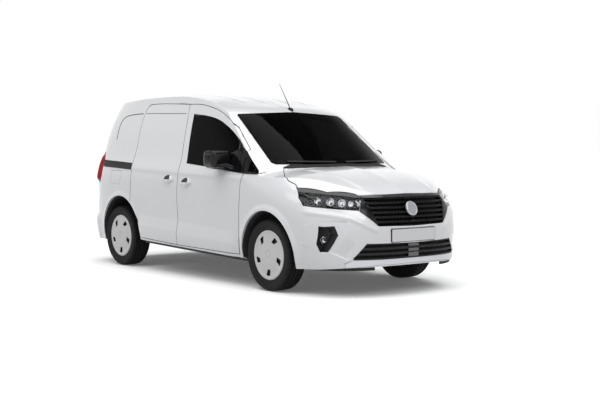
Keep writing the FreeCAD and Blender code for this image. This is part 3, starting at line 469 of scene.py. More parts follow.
for name, push, step in (("roof_panel", roof_push, 0.011), ("bonnet", bonnet_push, 0.014)):
    piece = painted_skins[name]
    low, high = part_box(name)
    across, along = steps(low[1] + 0.005, high[1], step), steps(low[0] + 0.01, high[0], 0.06)
    cut_grid(piece, (1, across), (0, along))
    for place in outer_points(piece):
        place.z += push(place.x, place.y)
    print(name, "faces after the push:", len(piece.data.polygons))

# %% [markdown]
# The front bumper has a shallow surround and a slanting facet beside each fog lamp, a seat
# for the plate and a ridge below the lamps. Each form is an outline seen from the front,
# and how far a place lies inside it gives its push, so the walls come out soft or crisp.

# %% Bumper forms
# The outlines are (distance from the middle, height) in metres, against the clock.
SURROUND = [
    (0.875, 0.62), (0.831, 0.673), (0.643, 0.669), (0.640, 0.609), (0.72, 0.397), (0.80, 0.385),
    (0.87, 0.45),
]
FACET = [(0.705, 0.544), (0.582, 0.485), (0.626, 0.323), (0.753, 0.397)]
PLATE_RECESS = [(-0.268, 0.4695), (0.268, 0.4695), (0.268, 0.5945), (-0.268, 0.5945)]
RIDGE = [(0.84, 0.735), (0.62, 0.690), (0.42, 0.585)]
SURROUND_DEPTH, FACET_DEPTH, SEAT_DEPTH, RIDGE_HEIGHT = 0.016, 0.030, 0.006, 0.009


def inside_by(outline, a, b):
    """How far a place lies inside a convex outline, in metres."""
    depths = []
    for (a1, b1), (a2, b2) in zip(outline, outline[1:] + outline[:1]):
        depths.append(((a2 - a1) * (b - b1) - (b2 - b1) * (a - a1)) / math.hypot(a2 - a1, b2 - b1))
    return min(depths)


def off_line(path, a, b):
    """Distance from a place to a path of straight runs."""
    nearest = 9.0
    for (a1, b1), (a2, b2) in zip(path, path[1:]):
        along = ((a - a1) * (a2 - a1) + (b - b1) * (b2 - b1)) / ((a2 - a1) ** 2 + (b2 - b1) ** 2)
        along = min(1.0, max(0.0, along))
        nearest = min(nearest, math.hypot(a1 + along * (a2 - a1) - a, b1 + along * (b2 - b1) - b))
    return nearest


def nose_push(y, z):
    push = -SURROUND_DEPTH * fade(inside_by(SURROUND, y, z), 0.0, 0.012)
    slope = fade(inside_by(FACET, y, z), 0.0, 0.014)
    below_top = 0.544 - z + 0.48 * (y - 0.705)
    push -= FACET_DEPTH * slope * min(1.0, max(0.0, below_top / 0.14))
    push -= SEAT_DEPTH * fade(inside_by(PLATE_RECESS, y, z), 0.0, 0.002)
    return push + RIDGE_HEIGHT * math.exp(-((off_line(RIDGE, y, z) / 0.022) ** 2))


nose = painted_skins["front_bumper"]
# The last cuts of each list come in pairs, so the walls of the plate's seat are upright.
half_cuts = steps(0.40, 0.86, 0.009) + [0.2655, 0.2685]
upright = steps(0.30, 0.78, 0.009) + [0.4690, 0.4718, 0.5922, 0.5950]
cut_grid(nose, (1, half_cuts + [-place for place in half_cuts]), (2, upright))
for place in outer_points(nose):
    if place.x > 1.66:
        # The push goes along X, and towards the corners along Y too.
        push = nose_push(abs(place.y), place.z)
        place.x += push * 0.88
        place.y += math.copysign(push * 0.47 * fade(abs(place.y), 0.3, 0.5), place.y)
cut_grid(nose, (0, steps(1.655, 1.79, 0.015)), (2, []))
for place in outer_points(nose):
    if abs(place.y) > 0.8 and place.x < 1.80:
        place.y += math.copysign(side_push(place.x, place.z), place.y)
print("front bumper faces after the push:", len(nose.data.polygons))

# %% [markdown]
# The fog lamps sit in black pockets. The pocket's rim is only another finish, so the skin is
# cut along its outline and the faces inside the outline turn black.

# %% Black rims of the fog pockets
POCKET = [
    (0.803, 0.616), (0.729, 0.625), (0.708, 0.545), (0.760, 0.399), (0.782, 0.396), (0.805, 0.416),
    (0.804, 0.502),
]


def blacken(piece, outline, material):
    """Cuts a skin along an outline seen from the nose and gives the inside its own finish."""
    mesh = bmesh.new()
    mesh.from_mesh(piece.data)
    piece.data.materials.append(material)

    def within(face, margin):
        middle = face.calc_center_median()
        return middle.x > 1.7 and inside_by(outline, abs(middle.y), middle.z) > margin

    for side in (-1, 1):
        for (y1, z1), (y2, z2) in zip(outline, outline[1:] + outline[:1]):
            near = [
                face for face in mesh.faces
                if face.calc_center_median().y * side > 0 and within(face, -0.03)
            ]
            cut_faces(mesh, near, (0, y1 * side, z1), (0, z2 - z1, (y1 - y2) * side))
    for face in mesh.faces:
        if within(face, 0):
            face.material_index = len(piece.data.materials) - 1
    mesh.to_mesh(piece.data)
    mesh.free()


blacken(nose, POCKET, GRAINED)
print("front bumper faces with the pockets' rims:", len(nose.data.polygons))

# %% [markdown]
# At the rear the corners of the bumper, and later the tail lamps over them, swell outwards.

# %% Corners of the rear bumper
tail = painted_skins["rear_bumper"]
cut_grid(tail, (1, steps(-0.89, 0.89, 0.02)), (2, steps(0.275, 0.55, 0.025)))
CORNER_REACH, LAMP_BULGE = 0.026, 0.034


def push_corner(place, push):
    """Moves a point at a rear corner to the rear and to its side."""
    place.x -= push * 0.62
    place.y += math.copysign(push * 0.785, place.y)


for place in outer_points(tail):
    push = CORNER_REACH * fade(abs(place.y), 0.60, 0.80) * fade(-place.x, 1.85, 1.97)
    push_corner(place, push * (1 - fade(place.z, 0.49, 0.56)))
print("rear bumper faces after the push:", len(tail.data.polygons))

# %% [markdown]
# A panel now mixes large faces with slivers. Weighted normals let the large ones set the
# shading, so the slivers don't show as smears in the gloss.

# %% Shade by the large faces


def weigh(piece, degrees=28):
    """Smooth shading in which large faces count most, so that narrow ones don't smear."""
    smooth(piece, degrees)
    modify(piece, "WEIGHTED_NORMAL", keep_sharp=True, weight=100)


for piece in painted_skins.values():
    weigh(piece)
print("skins weighed:", len(painted_skins))

# %% [markdown]
# Glass, mirrors and black trim get skins too. The lower grille is set back a little, which
# leaves room for the plate of a sensor in front of it.

# %% Smooth copies of the glass, mirrors and trim
OTHER_SKINS = {
    "windscreen": WINDOW, "quarter_glasses": WINDOW, "door_glass_left": WINDOW,
    "door_glass_right": WINDOW, "door_mirror_left": GLOSS_BLACK, "door_mirror_right": GLOSS_BLACK,
    "cowl": GRAINED, "chin_strip": SILVER, "headlamps": GLOSS_BLACK, "fog_lamps": GRAINED,
    "tail_lamps": RED_LAMP, "slide_rails": GRAINED, "sill_strips": GRAINED,
    "upper_grille": GRILLE_BLACK, "lower_grille": GRAINED,
}
other_skins = {node: skin(node, material) for node, material in OTHER_SKINS.items()}
for vertex in other_skins["lower_grille"].data.vertices:
    vertex.co.x -= 0.0025
print("trim skins:", len(other_skins))

# %% [markdown]
# ## Pieces that keep their solids
# What has flat faces or is only seen from below keeps its solid and gets a finish.

# %% Finishes on the solids that stay
KEPT = {
    "wipers": GRAINED, "antenna": GRAINED, "hinge_blocks": STEEL, "floor_pan": CHASSIS,
    "bulkhead": CHASSIS, "partition": CHASSIS, "dashboard": TRIM, "front_subframe": CHASSIS,
    "knuckle_left": STEEL, "knuckle_right": STEEL, "rear_axle": CHASSIS, "exhaust": STEEL,
    "engine_block": IRON, "steering_wheel": TRIM, "seat_left": CLOTH, "seat_right": CLOTH,
}
for node, material in KEPT.items():
    dress(nodes[node], material)
print("solids kept:", len(KEPT))

# %% [markdown]
# ## Wheels
# A tyre and a wheel cover are turned shapes, so each starts as one outline of radius and
# height that is spun about the axle. The tread's long grooves are in the outline, and the
# cross cuts of its shoulders are insets of every third face.

# %% Turn an outline about the axle


def turned(name, outline, count, closed=True):
    """Outline of (radius, height) in millimetres, spun about Y as a solid or as a sheet."""
    bpy.ops.mesh.primitive_circle_add(vertices=len(outline), radius=1)
    piece = bpy.context.object
    piece.name = name
    for vertex, (radius, height) in zip(piece.data.vertices, outline):
        vertex.co = (radius / 1000, height / 1000, 0)
    settle(piece)
    edit(piece, "VERT")
    if not closed:
        mesh = bmesh.from_edit_mesh(piece.data)
        mesh.verts.ensure_lookup_table()
        ends = {mesh.verts[0], mesh.verts[-1]}
        closing = [edge for edge in mesh.edges if set(edge.verts) == ends]
        bmesh.ops.delete(mesh, geom=closing, context="EDGES")
        bmesh.update_edit_mesh(piece.data)
        bpy.ops.mesh.select_all(action="SELECT")
    bpy.ops.mesh.spin(steps=count, angle=math.tau, center=(0, 0, 0), axis=(0, 1, 0))
    bpy.ops.mesh.select_all(action="SELECT")
    bpy.ops.mesh.remove_doubles(threshold=0.00001)
    bpy.ops.mesh.normals_make_consistent(inside=False)
    leave_edit()
    return piece


def select_faces(piece, chosen):
    """Selects the faces for whose centre chosen(centre) holds, in edit mode."""
    edit(piece)
    bpy.ops.mesh.select_all(action="DESELECT")
    mesh = bmesh.from_edit_mesh(piece.data)
    count = 0
    for face in mesh.faces:
        if chosen(face.calc_center_median()):
            face.select = True
            count += 1
    bmesh.update_edit_mesh(piece.data)
    return count


# %% Tyre with its tread
TYRE_STEPS = 120
TYRE_SIDE = [
    (212, 76), (219, 82), (228, 87), (233, 92), (236, 92.5), (240, 91.5), (262, 99), (285, 102),
    (299, 101), (304, 100.8), (306, 98.6), (314, 92), (319.5, 85.5), (322.8, 77), (324.2, 64),
    (317, 62.5), (317, 54.5), (324.8, 53), (325.8, 26), (318, 24.5), (318, 16.5), (326, 15),
]
TYRE_OUTLINE = TYRE_SIDE + [(radius, -height) for radius, height in reversed(TYRE_SIDE)]


def step_of(point, count):
    """Number of the step round the axle that a point lies in."""
    return int((math.atan2(point.z, point.x) / math.tau % 1) * count + 0.001)


def is_shoulder(point):
    radius = math.hypot(point.x, point.z)
    return radius > 0.3205 and abs(point.y) > 0.066 and step_of(point, TYRE_STEPS) % 2 == 0


def is_block(point):
    radius = math.hypot(point.x, point.z)
    between_grooves = 0.028 < abs(point.y) < 0.05
    return radius > 0.3245 and between_grooves and step_of(point, TYRE_STEPS) % 3 == 0


WHEELS = ["front_left", "front_right", "rear_left", "rear_right"]
tyre = turned("tyre", TYRE_OUTLINE, TYRE_STEPS)
cuts = select_faces(tyre, is_shoulder)
bpy.ops.mesh.inset(thickness=0.003, depth=-0.006, use_individual=True)
cuts += select_faces(tyre, is_block)
bpy.ops.mesh.inset(thickness=0.005, depth=-0.005, use_individual=True)
leave_edit()
smooth(tyre, 40)
dress(tyre, RUBBER)
print("tyre faces:", len(tyre.data.polygons), "cross cuts:", cuts)

# %% [markdown]
# The cover is a shallow dish of painted plastic over a black steel wheel. Its five slots
# are faces taken out of the spun dish after its rings have been twisted a little, so the
# slots lean. A solidify then gives the dish its wall.

# %% Wheel cover with five slots
COVER_STEPS = 100
COVER_LINE = [
    (0, 97), (16, 97), (27, 96.4), (29.5, 94.6), (32, 94.6), (35, 96.6), (60, 97.2), (92, 96.4),
    (120, 94.0), (130, 92.8), (148, 90.6), (168, 88.6), (187, 87.6), (196, 88.4),
    (206, 90.2), (213, 90.6), (220, 88.8), (226, 84.6), (228, 79), (227, 74),
]
SLOT_RINGS = (0.130, 0.186)
SLOT_COUNT = 5
SLOT_STEPS = 5
SLOT_TURN = math.radians(-34)
TWIST = math.radians(16)


def is_slot(point):
    radius = math.hypot(point.x, point.z)
    step = step_of(point, COVER_STEPS) % (COVER_STEPS // SLOT_COUNT)
    return SLOT_RINGS[0] < radius < SLOT_RINGS[1] and step < SLOT_STEPS


cover = turned("wheel_cover", COVER_LINE, COVER_STEPS, closed=False)
slots = select_faces(cover, is_slot)
bpy.ops.mesh.delete(type="FACE")
leave_edit()
for vertex in cover.data.vertices:
    radius = math.hypot(vertex.co.x, vertex.co.z)
    share = min(1, max(0, (radius - 0.09) / 0.12))
    turn = TWIST * share
    x, z = vertex.co.x, vertex.co.z
    vertex.co.x = x * math.cos(turn) - z * math.sin(turn)
    vertex.co.z = x * math.sin(turn) + z * math.cos(turn)
edit(cover)
bpy.ops.mesh.normals_make_consistent(inside=False)
leave_edit()
cover.rotation_euler.y = SLOT_TURN
settle(cover)
thicken(cover, 0.003)
smooth(cover, 35)
dress(cover, COVER)
print("cover faces:", len(cover.data.polygons), "slot faces removed:", slots)

# %% [markdown]
# Through the slots one sees the black steel wheel. It is turned like the tyre, with its
# disc, its well and its two edges in one outline.

# %% Black steel wheel behind the cover
RIM_OUTLINE = [
    (28.3, -20.5), (66, -20.5), (70, -16), (70, 40), (110, 58), (150, 62), (185, 52), (204, 40),
    (204, -70), (209, -78), (220, -80), (220, -75), (212, -71), (212, 71), (218, 77), (214, 79),
    (206, 74), (200, 62), (180, 70), (150, 72), (100, 68), (60, 60), (28.3, 58),
]
rim = turned("steel_wheel", RIM_OUTLINE, 72)
smooth(rim, 35)
dress(rim, WHEEL_STEEL)
print("rim faces:", len(rim.data.polygons))

# %% [markdown]
# One set is modelled about the origin and copied to the four places. On the right side the
# copies are turned half round, so every cover faces outwards.

# %% Put the four wheels in place


def copy_to(source, name, place, half_turn):
    """A copy with its own mesh, set in place in its mesh."""
    piece = add_piece(name, source.data.copy())
    piece.rotation_euler.z = math.pi if half_turn else 0
    piece.location = place
    settle(piece)
    return piece


for wheel in WHEELS:
    low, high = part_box("tyre_" + wheel)
    centre = [(a + b) / 2 for a, b in zip(low, high)]
    turned_round = wheel.endswith("right")
    tyre_piece = copy_to(tyre, "tyre_%s_tread" % wheel, centre, turned_round)
    cover_piece = copy_to(cover, "cover_" + wheel, centre, turned_round)
    rim_piece = copy_to(rim, "rim_" + wheel, centre, turned_round)
    for piece in (tyre_piece, cover_piece, rim_piece):
        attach(piece, "wheel_" + wheel)
    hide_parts("tyre_" + wheel)
    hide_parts("wheel_" + wheel)
for source in (tyre, cover, rim):
    bpy.data.objects.remove(source)
print("wheels placed:", len(WHEELS))

# %% [markdown]
# ## Pieces that lie on the skin
# Bands, borders and plates follow the skin under them. Each is drawn flat as an outline
# seen from one side, cut into small cells and dropped on the skin by rays. A solidify then
# gives it a wall that sinks into the skin.

# %% Drop an outline on the skin
VIEWS = {
    "right": (Vector((0, 1, 0)), 0, 2), "left": (Vector((0, -1, 0)), 0, 2),
    "nose": (Vector((-1, 0, 0)), 1, 2), "tail": (Vector((1, 0, 0)), 1, 2),
    "top": (Vector((0, 0, -1)), 0, 1),
}
SIDES = ((-1, "right"), (1, "left"))
FAR = 4


def drop(rays, view, a, b, reach=0.0):
    """The van's outermost place at (a, b) in metres, or within reach of it."""
    aim, first, second = VIEWS[view]
    nearest = None
    offsets = [(0, 0)]
    if reach:
        offsets += [(0, reach), (0, -reach), (reach, 0), (-reach, 0)]
        offsets += [(0, reach / 2), (0, -reach / 2)]
    for da, db in offsets:
        start = -aim * FAR
        start[first], start[second] = a + da, b + db
        hit = rays.ray_cast(start, aim)
        if hit[0] is not None and (nearest is None or hit[3] < nearest):
            nearest = hit[3]
    if nearest is None:
        return None
    place = -aim * (FAR - nearest)
    place[first], place[second] = a, b
    return place


def new_piece(name, mesh, material, body):
    data = bpy.data.meshes.new(name)
    mesh.to_mesh(data)
    mesh.free()
    piece = add_piece(name, data)
    dress(piece, material)
    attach(piece, body)
    return piece


def flat_cells(outline, view, cell):
    """The outline in millimetres as a flat mesh, cut into cells."""
    aim, first, second = VIEWS[view]
    mesh = bmesh.new()
    corners = []
    for a, b in outline:
        place = Vector((0, 0, 0))
        place[first], place[second] = a / 1000, b / 1000
        corners.append(mesh.verts.new(place))
    bmesh.ops.triangulate(mesh, faces=[mesh.faces.new(corners)])
    for number, axis in enumerate((first, second)):
        values = [point[number] / 1000 for point in outline]
        cut_across(mesh, mesh.faces[:], axis, steps(min(values) + 0.0007, max(values), cell / 1000))
    return mesh


def face_out(mesh, aim):
    """Turns the faces of an open mesh against the line of sight."""
    bmesh.ops.recalc_face_normals(mesh, faces=mesh.faces[:])
    facing = sum((face.normal * face.calc_area() for face in mesh.faces), Vector())
    if facing.dot(aim) > 0:
        bmesh.ops.reverse_faces(mesh, faces=mesh.faces[:])


def patch(
    name, outline, view, material, body, lift=0.6, depth=3.0, cell=20.0, reach=0.0, rays=None,
):
    """Thin piece on the skin. Outline, lift, depth, cell and reach are in millimetres."""
    aim, first, second = VIEWS[view]
    mesh = flat_cells(outline, view, cell)
    for vertex in mesh.verts:
        a, b = vertex.co[first], vertex.co[second]
        place = drop(rays or skin_rays, view, a, b, reach / 1000)
        if place is not None:
            rise = lift(a, b) if callable(lift) else lift
            vertex.co = place - aim * rise / 1000
    face_out(mesh, aim)
    piece = new_piece(name, mesh, material, body)
    thicken(piece, depth / 1000)
    smooth(piece, 35)


skin_rays = rays_of(list(painted_skins.values()) + list(other_skins.values()))
print("skins in the tree:", len(painted_skins) + len(other_skins))

# %% [markdown]
# From outside, the front window and the little fixed glass ahead of it read as one black
# shape. Black trim on the door and on the pillar joins them, parted at the door's seam, and
# a painted strip trims the upper edge of the small glass.

# %% Black corner between the door's window and the quarter glass
DOOR_CORNER = [
    (300, 1101), (812, 1064), (905.5, 1056), (866.5, 1240), (850, 1266), (800, 1299), (735, 1347),
    (661, 1400), (668, 1388), (807, 1266), (815, 1096), (763, 1082), (300, 1114),
]
PILLAR_CORNER = [
    (909, 1056), (869.8, 1240), (856, 1266), (923, 1217), (970, 1181), (970, 1076), (1096, 1068),
    (1122, 1060), (1110, 1054), (1076, 1051), (946, 1054),
]
PILLAR_COVER = [
    (923, 1218), (996, 1162), (1099, 1085), (1120, 1062), (1150, 1072), (1110, 1120), (1000, 1212),
    (930, 1262), (890, 1262), (870, 1260),
]
side_pieces = [piece for node, piece in other_skins.items() if "mirror" not in node]
side_rays = rays_of(list(painted_skins.values()) + side_pieces)


def side_patch(name, outline, side, material, body, lift, cell=12):
    patch(
        name + side, outline, side, material, body, lift, depth=3, cell=cell, reach=9,
        rays=side_rays,
    )


for side in ("right", "left"):
    side_patch("window_corner_", DOOR_CORNER, side, GLOSS_BLACK, "front_door_" + side, 0.8)
    side_patch("pillar_corner_", PILLAR_CORNER, side, GLOSS_BLACK, "body", 0.8)
    side_patch("pillar_cover_", PILLAR_COVER, side, PAINT, "body", 1.4)
print("window corners:", 6)

# %% [markdown]
# The rail of each sliding door runs behind a black band as high as a hand is wide.

# %% Black bands along the slide rails
RAIL_BAND = [
    (-1862, 1154), (-1491, 1140), (-1166, 1126), (-1165, 1053), (-1477, 1066), (-1707, 1074),
    (-1838, 1078),
]
for side in ("right", "left"):
    side_patch("rail_band_", RAIL_BAND, side, GRAINED, "body", 1.2, 20)
print("rail bands:", 2)

# %% [markdown]
# The handles bridge their cups. Each is a rounded bar that is dropped on the plain solid,
# lifted most in its middle, and let into the skin at its ends.

# %% Door handles
HANDLE_BODIES = {"right": ("body", "front_door_right"), "left": ("body", "front_door_left")}


def rounded_bar(x, z, length, height):
    """Outline of a bar with round ends, in millimetres."""
    points = []
    for number in range(20):
        turn = math.tau * number / 20
        end = math.copysign((length - height) / 2, math.cos(turn))
        points.append((x + end + math.cos(turn) * height / 2, z + math.sin(turn) * height / 2))
    return points


def rounded_box(low_a, high_a, low_b, high_b, radius):
    """Outline of a box with round corners, in millimetres."""
    points = []
    corners = ((high_a, high_b, 0), (low_a, high_b, 90), (low_a, low_b, 180), (high_a, low_b, 270))
    for a, b, start in corners:
        middle_a = a - math.copysign(radius, math.cos(math.radians(start + 45)))
        middle_b = b - math.copysign(radius, math.sin(math.radians(start + 45)))
        for angle in range(start, start + 91, 30):
            turn = math.radians(angle)
            points.append((middle_a + radius * math.cos(turn), middle_b + radius * math.sin(turn)))
    return points


def slab(name, outline, view, face, depth, material, body):
    """Flat plate. Its outer face is at face metres along the line of sight."""
    aim, first, second = VIEWS[view]
    mesh = flat_cells(outline, view, 1000)
    for vertex in mesh.verts:
        vertex.co -= aim * face
    face_out(mesh, aim)
    piece = new_piece(name, mesh, material, body)
    thicken(piece, depth / 1000)
    smooth(piece, 30)


handles = 0
for side in ("right", "left"):
    for body, (x, z) in zip(HANDLE_BODIES[side], HANDLES):
        def rise(a, b, x=x, z=z):
            # 20 mm proud in the middle, and 1 mm under the skin at the ends.
            long_share = min(1.0, abs(a - x) / 0.118)
            high_share = min(1.0, abs(b - z) / 0.019)
            return 21 * (1 - long_share ** 3) * (1 - 0.35 * high_share ** 2) - 1
        bar = rounded_bar(x * 1000, z * 1000, 236, 36)
        name = "%s_%d" % (side, handles)
        patch("handle_" + name, bar, side, PAINT, body, rise, depth=9, cell=6, rays=van_rays)
        lock = rounded_bar(x * 1000 + 92, z * 1000, 24, 24)
        patch("lock_" + name, lock, side, SEAL_AND_SHADE, body, 4.0, depth=3, cell=6, rays=van_rays)
        handles += 1
print("handles:", handles)

# %% [markdown]
# A pressed groove runs under the roof rail and turns down behind the sliding door. Its shade
# is painted: a dark line of small radius that is half sunk in the skin.

# %% Lines that follow the skin


def softened(path, rounds=2):
    """Rounds the corners of a path by cutting each corner off, again and again."""
    for _ in range(rounds):
        soft = [path[0]]
        for one, two in zip(path, path[1:]):
            soft += [
                tuple(0.75 * a + 0.25 * b for a, b in zip(one, two)),
                tuple(0.25 * a + 0.75 * b for a, b in zip(one, two)),
            ]
        path = soft + [path[-1]]
    return path


def divided(path, pitch):
    """The path with points no further apart than pitch."""
    points = [path[0]]
    for one, two in zip(path, path[1:]):
        parts = max(1, int(math.dist(one, two) / pitch))
        for part in range(1, parts + 1):
            share = part / parts
            points.append(tuple(a + (b - a) * share for a, b in zip(one, two)))
    return points


def tube(name, points, radius, material, body):
    """Round line through points, turned into a mesh."""
    line = bpy.data.curves.new(name, "CURVE")
    line.dimensions = "3D"
    line.bevel_depth = radius
    line.bevel_resolution = 2
    line.use_fill_caps = True
    spline = line.splines.new("POLY")
    spline.points.add(len(points) - 1)
    for point, place in zip(spline.points, points):
        point.co = (*place, 1)
    pick(add_piece(name, line))
    bpy.ops.object.convert(target="MESH")
    piece = bpy.context.object
    dress(piece, material)
    smooth(piece, 50)
    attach(piece, body)


def skin_line(name, path, view, radius, material, body, sink=0.3):
    """Round line along a path in millimetres that is partly sunk in the skin."""
    places = [drop(skin_rays, view, a / 1000, b / 1000) for a, b in divided(softened(path), 14)]
    aim = VIEWS[view][0]
    tube(name, [place + aim * radius * sink for place in places if place], radius, material, body)


# Both lines are painted shade: dark tubes that stand for the shadow in pressed grooves.
GROOVE = [(-1215, 1656), (-1400, 1652), (-1548, 1640), (-1640, 1600), (-1668, 1500), (-1650, 1377)]
DOOR_GROOVE = [(-335, 1637), (-800, 1650), (-1150, 1656)]
for side in ("right", "left"):
    skin_line("groove_" + side, GROOVE, side, 0.0050, SEAL_AND_SHADE, "body")
    skin_line("door_groove_" + side, DOOR_GROOVE, side, 0.0032, SHADE, "body")
print("grooves:", 4)

# %% [markdown]
# ## The nose
# The lamps are pushed in behind clear lenses, which are copies of the lamps' outer faces.
# A dark band runs over the lamps and the grille. A plain round boss sits on the grille, and
# the plate is blank.

# %% Headlamp housings and lenses
BAND_SLOPE = 0.137


def band_height(y):
    return 0.860 + BAND_SLOPE * max(0.0, abs(y) - 0.48)


def open_points(piece):
    """Places of the points whose faces the open air reaches."""
    found = set()
    for polygon in piece.data.polygons:
        if ahead(polygon.center, polygon.normal)[0] is None:
            found.update(polygon.vertices)
    return [piece.data.vertices[index].co for index in found]


def outer_copy(piece, name, material, body, depth):
    """The outer faces of a skin as a thin piece of their own."""
    mesh = bmesh.new()
    mesh.from_mesh(piece.data)
    inner = [
        face for face in mesh.faces
        if ahead(face.calc_center_median(), face.normal)[0] is not None
    ]
    bmesh.ops.delete(mesh, geom=inner, context="FACES")
    for side in (-1, 1):
        cut_faces(mesh, mesh.faces[:], (0, 0.48 * side, 0.860), (0, -BAND_SLOPE * side, 1))
    copy = new_piece(name, mesh, material, body)
    thicken(copy, depth)
    smooth(copy, 30)
    return copy


lamps = other_skins["headlamps"]
lenses = outer_copy(lamps, "headlamp_lenses", LENS, "body", 0.0025)
lenses.data.materials.append(DARK_BAND)
for polygon in lenses.data.polygons:
    polygon.material_index = int(polygon.center.z > band_height(polygon.center.y))
for place in open_points(lamps):
    place.x -= 0.030
    place.y -= math.copysign(0.010, place.y)
weigh(lamps)
print("lens faces:", len(lenses.data.polygons))

# %% [markdown]
# Each reflector is half an egg of bright metal with a glass bulb in it. The bowl is one open
# line that is spun and given a wall, turned about Y at the origin and then aimed.

# %% Reflectors behind the lenses
BOWL = [(0, 0), (8, 0.5), (16, 3), (23, 8), (28, 15), (30, 19)]


def aimed(piece, place, aim):
    """Puts a piece that was turned about Y at a place, with its axis along aim."""
    piece.rotation_euler = Vector(aim).to_track_quat("Y", "Z").to_euler()
    piece.location = place
    settle(piece)


def turned_at(
    name, outline, count, material, place, aim, degrees=30, stretch=1.0, wall=None,
):
    """A turned piece, or a sheet with a wall, that is finished, aimed and on the body."""
    piece = turned(name, outline, count, closed=wall is None)
    for vertex in piece.data.vertices:
        vertex.co.x *= stretch
    if wall is not None:
        thicken(piece, wall, 0)
    smooth(piece, degrees)
    dress(piece, material)
    aimed(piece, place, aim)
    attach(piece, "body")


def bowl_at(name, place, aim, size):
    outline = [(radius * size, height * size) for radius, height in BOWL]
    turned_at(name, outline, 32, CHROME, place, aim, 50, wall=0.0015)


lens_rays = rays_of([lenses])
REFLECTORS = [(0.775, 0.834, 0.95), (0.708, 0.827, 1.15), (0.638, 0.818, 1.15), (0.576, 0.810, 0.8)]
bowls = 0
for side in (-1, 1):
    for y, z, bowl_size in REFLECTORS:
        front = drop(lens_rays, "nose", y * side, z)
        place = front + Vector((-0.026, -0.006 * side, 0))
        bowl_at("reflector_%d" % bowls, place, (1, 0.45 * side, 0), bowl_size)
        bpy.ops.mesh.primitive_uv_sphere_add(segments=20, ring_count=12, radius=0.009 * bowl_size)
        bulb = bpy.context.object
        bulb.name = "bulb_%d" % bowls
        smooth(bulb, 60)
        bulb.location = place + Vector((0.010, 0.0045 * side, 0))
        settle(bulb)
        dress(bulb, LENS)
        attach(bulb, "body")
        bowls += 1
print("reflectors:", bowls)

# %% [markdown]
# A pale light guide stands at the inner end of each lamp, as a narrow wedge on the lens.

# %% Light guides at the inner ends of the lamps


def mirrored(outline, side):
    """An outline drawn for the left side, on the side asked for."""
    return [(y * side, z) for y, z in outline]


GUIDE = [(537, 838), (519, 776), (507, 776), (493, 838), (503, 838), (513, 796), (525, 838)]
for side, name in SIDES:
    patch(
        "light_guide_" + name, mirrored(GUIDE, side), "nose", LIGHT_GUIDE, "body", lift=0.5,
        depth=2, cell=12, rays=lens_rays,
    )
print("light guides:", 2)

# %% [markdown]
# A dark band joins the two lamps over the grille, and black corners carry the grille's shape
# out to them. Plates are flat slabs, because they don't follow the skin.

# %% Band over the grille, plates and sensors
BAND = [(-474, 863), (474, 863), (474, 882), (0, 892), (-474, 882)]
patch("grille_band", BAND, "nose", DARK_BAND, "body", lift=1.5, depth=4, cell=24, reach=12)
BESIDE_GRILLE = [(540, 752), (482, 850), (472, 866), (396, 640), (392, 622)]
for side, name in SIDES:
    outline = mirrored(BESIDE_GRILLE, side)
    patch("beside_grille_" + name, outline, "nose", GLOSS_BLACK, "body", 1.2, 4, 12, reach=9)
PLATE_FACE = 2.2436
PLATE_HOLDER = rounded_box(-264, 264, 474, 590, 10)
slab("plate_holder_front", PLATE_HOLDER, "nose", PLATE_FACE - 0.0024, 16, GRAINED, "body")
plate_outline = rounded_box(-260, 260, 478, 586, 7)
slab("plate_front", plate_outline, "nose", PLATE_FACE, 3, PLATE, "body")
NOSE_SENSOR = [(-60, 344), (60, 344), (60, 456), (-60, 456)]
patch("nose_sensor", NOSE_SENSOR, "nose", SENSOR, "body", lift=-0.2, depth=6, reach=18)
print("plates and sensor:", 3)

# %% [markdown]
# The boss is a plain ring round a disc, with no sign on it. It leans back with the grille.

# %% Boss and camera
BOSS = [(0, 8), (50, 8), (53, 6), (55, 6), (58, 10), (64, 10), (67, 7), (67, -4), (0, -4)]
front = drop(skin_rays, "nose", 0, 0.761, 0.02)
turned_at("nose_boss", BOSS, 64, SILVER, front + Vector((0.002, 0, 0)), (1, 0, 0.39))
CAMERA_EYE = [(0, 6), (9, 6), (12, 4), (12, -6), (0, -6)]
eye_place = drop(skin_rays, "nose", 0, 0.655, 0.02) + Vector((-0.002, 0, 0))
turned_at("nose_camera", CAMERA_EYE, 24, GLOSS_BLACK, eye_place, (1, 0, 0))
print("boss at", tuple(round(v, 3) for v in front))

# %% [markdown]
# The fog lamps lie deep in their pockets. Their skins are pushed in, and each gets a small
# reflector behind a domed glass.

# %% Fog lamps in their pockets
FOG_GLASS = [(0, 22), (20, 21), (27, 18.5), (27, 17), (0, 19)]
fogs = other_skins["fog_lamps"]
for place in open_points(fogs):
    place.x -= 0.034
    place.y -= math.copysign(0.016, place.y)
weigh(fogs)
fog_rays = rays_of([fogs])
for side, name in SIDES:
    place = drop(fog_rays, "nose", 0.752 * side, 0.500) + Vector((0.001, 0, 0))
    aim = (1, 0.35 * side, 0)
    bowl_at("fog_bowl_" + name, place, aim, 0.9)
    turned_at("fog_glass_" + name, FOG_GLASS, 32, LENS, place, aim, 40)
print("fog lamps:", 2)

# %% [markdown]
# The sheet is rolled round at the edge of an arch. A round line along the edge, half in the
# paint, gives that rolled edge its soft light.

# %% Lips along the wheel arches


def arch_line(middle, half, rise, beyond):
    """The edge of an arch as (x, z) in metres, from its rear foot to its front foot."""
    half, rise = half + beyond, rise + beyond
    points = [(middle - half, z / 1000) for z in range(265, 326, 15)]
    for angle in range(180, -1, -5):
        turn = math.radians(angle)
        points.append((middle + half * math.cos(turn), AXLE + rise * math.sin(turn)))
    return points + [(middle + half, z / 1000) for z in range(325, 264, -15)]


for side in ("right", "left"):
    for number, (middle, half, rise, _, _) in enumerate(ARCHES):
        path = arch_line(middle, half, rise, 0.004)
        places = [drop(skin_rays, side, x, z) for x, z in path]
        aim = VIEWS[side][0]
        points = [place + aim * 0.003 for place in places if place and abs(place.y) > 0.8]
        tube("arch_lip_%s_%d" % (side, number), points, 0.0055, PAINT, "body")
print("arch lips:", 4)

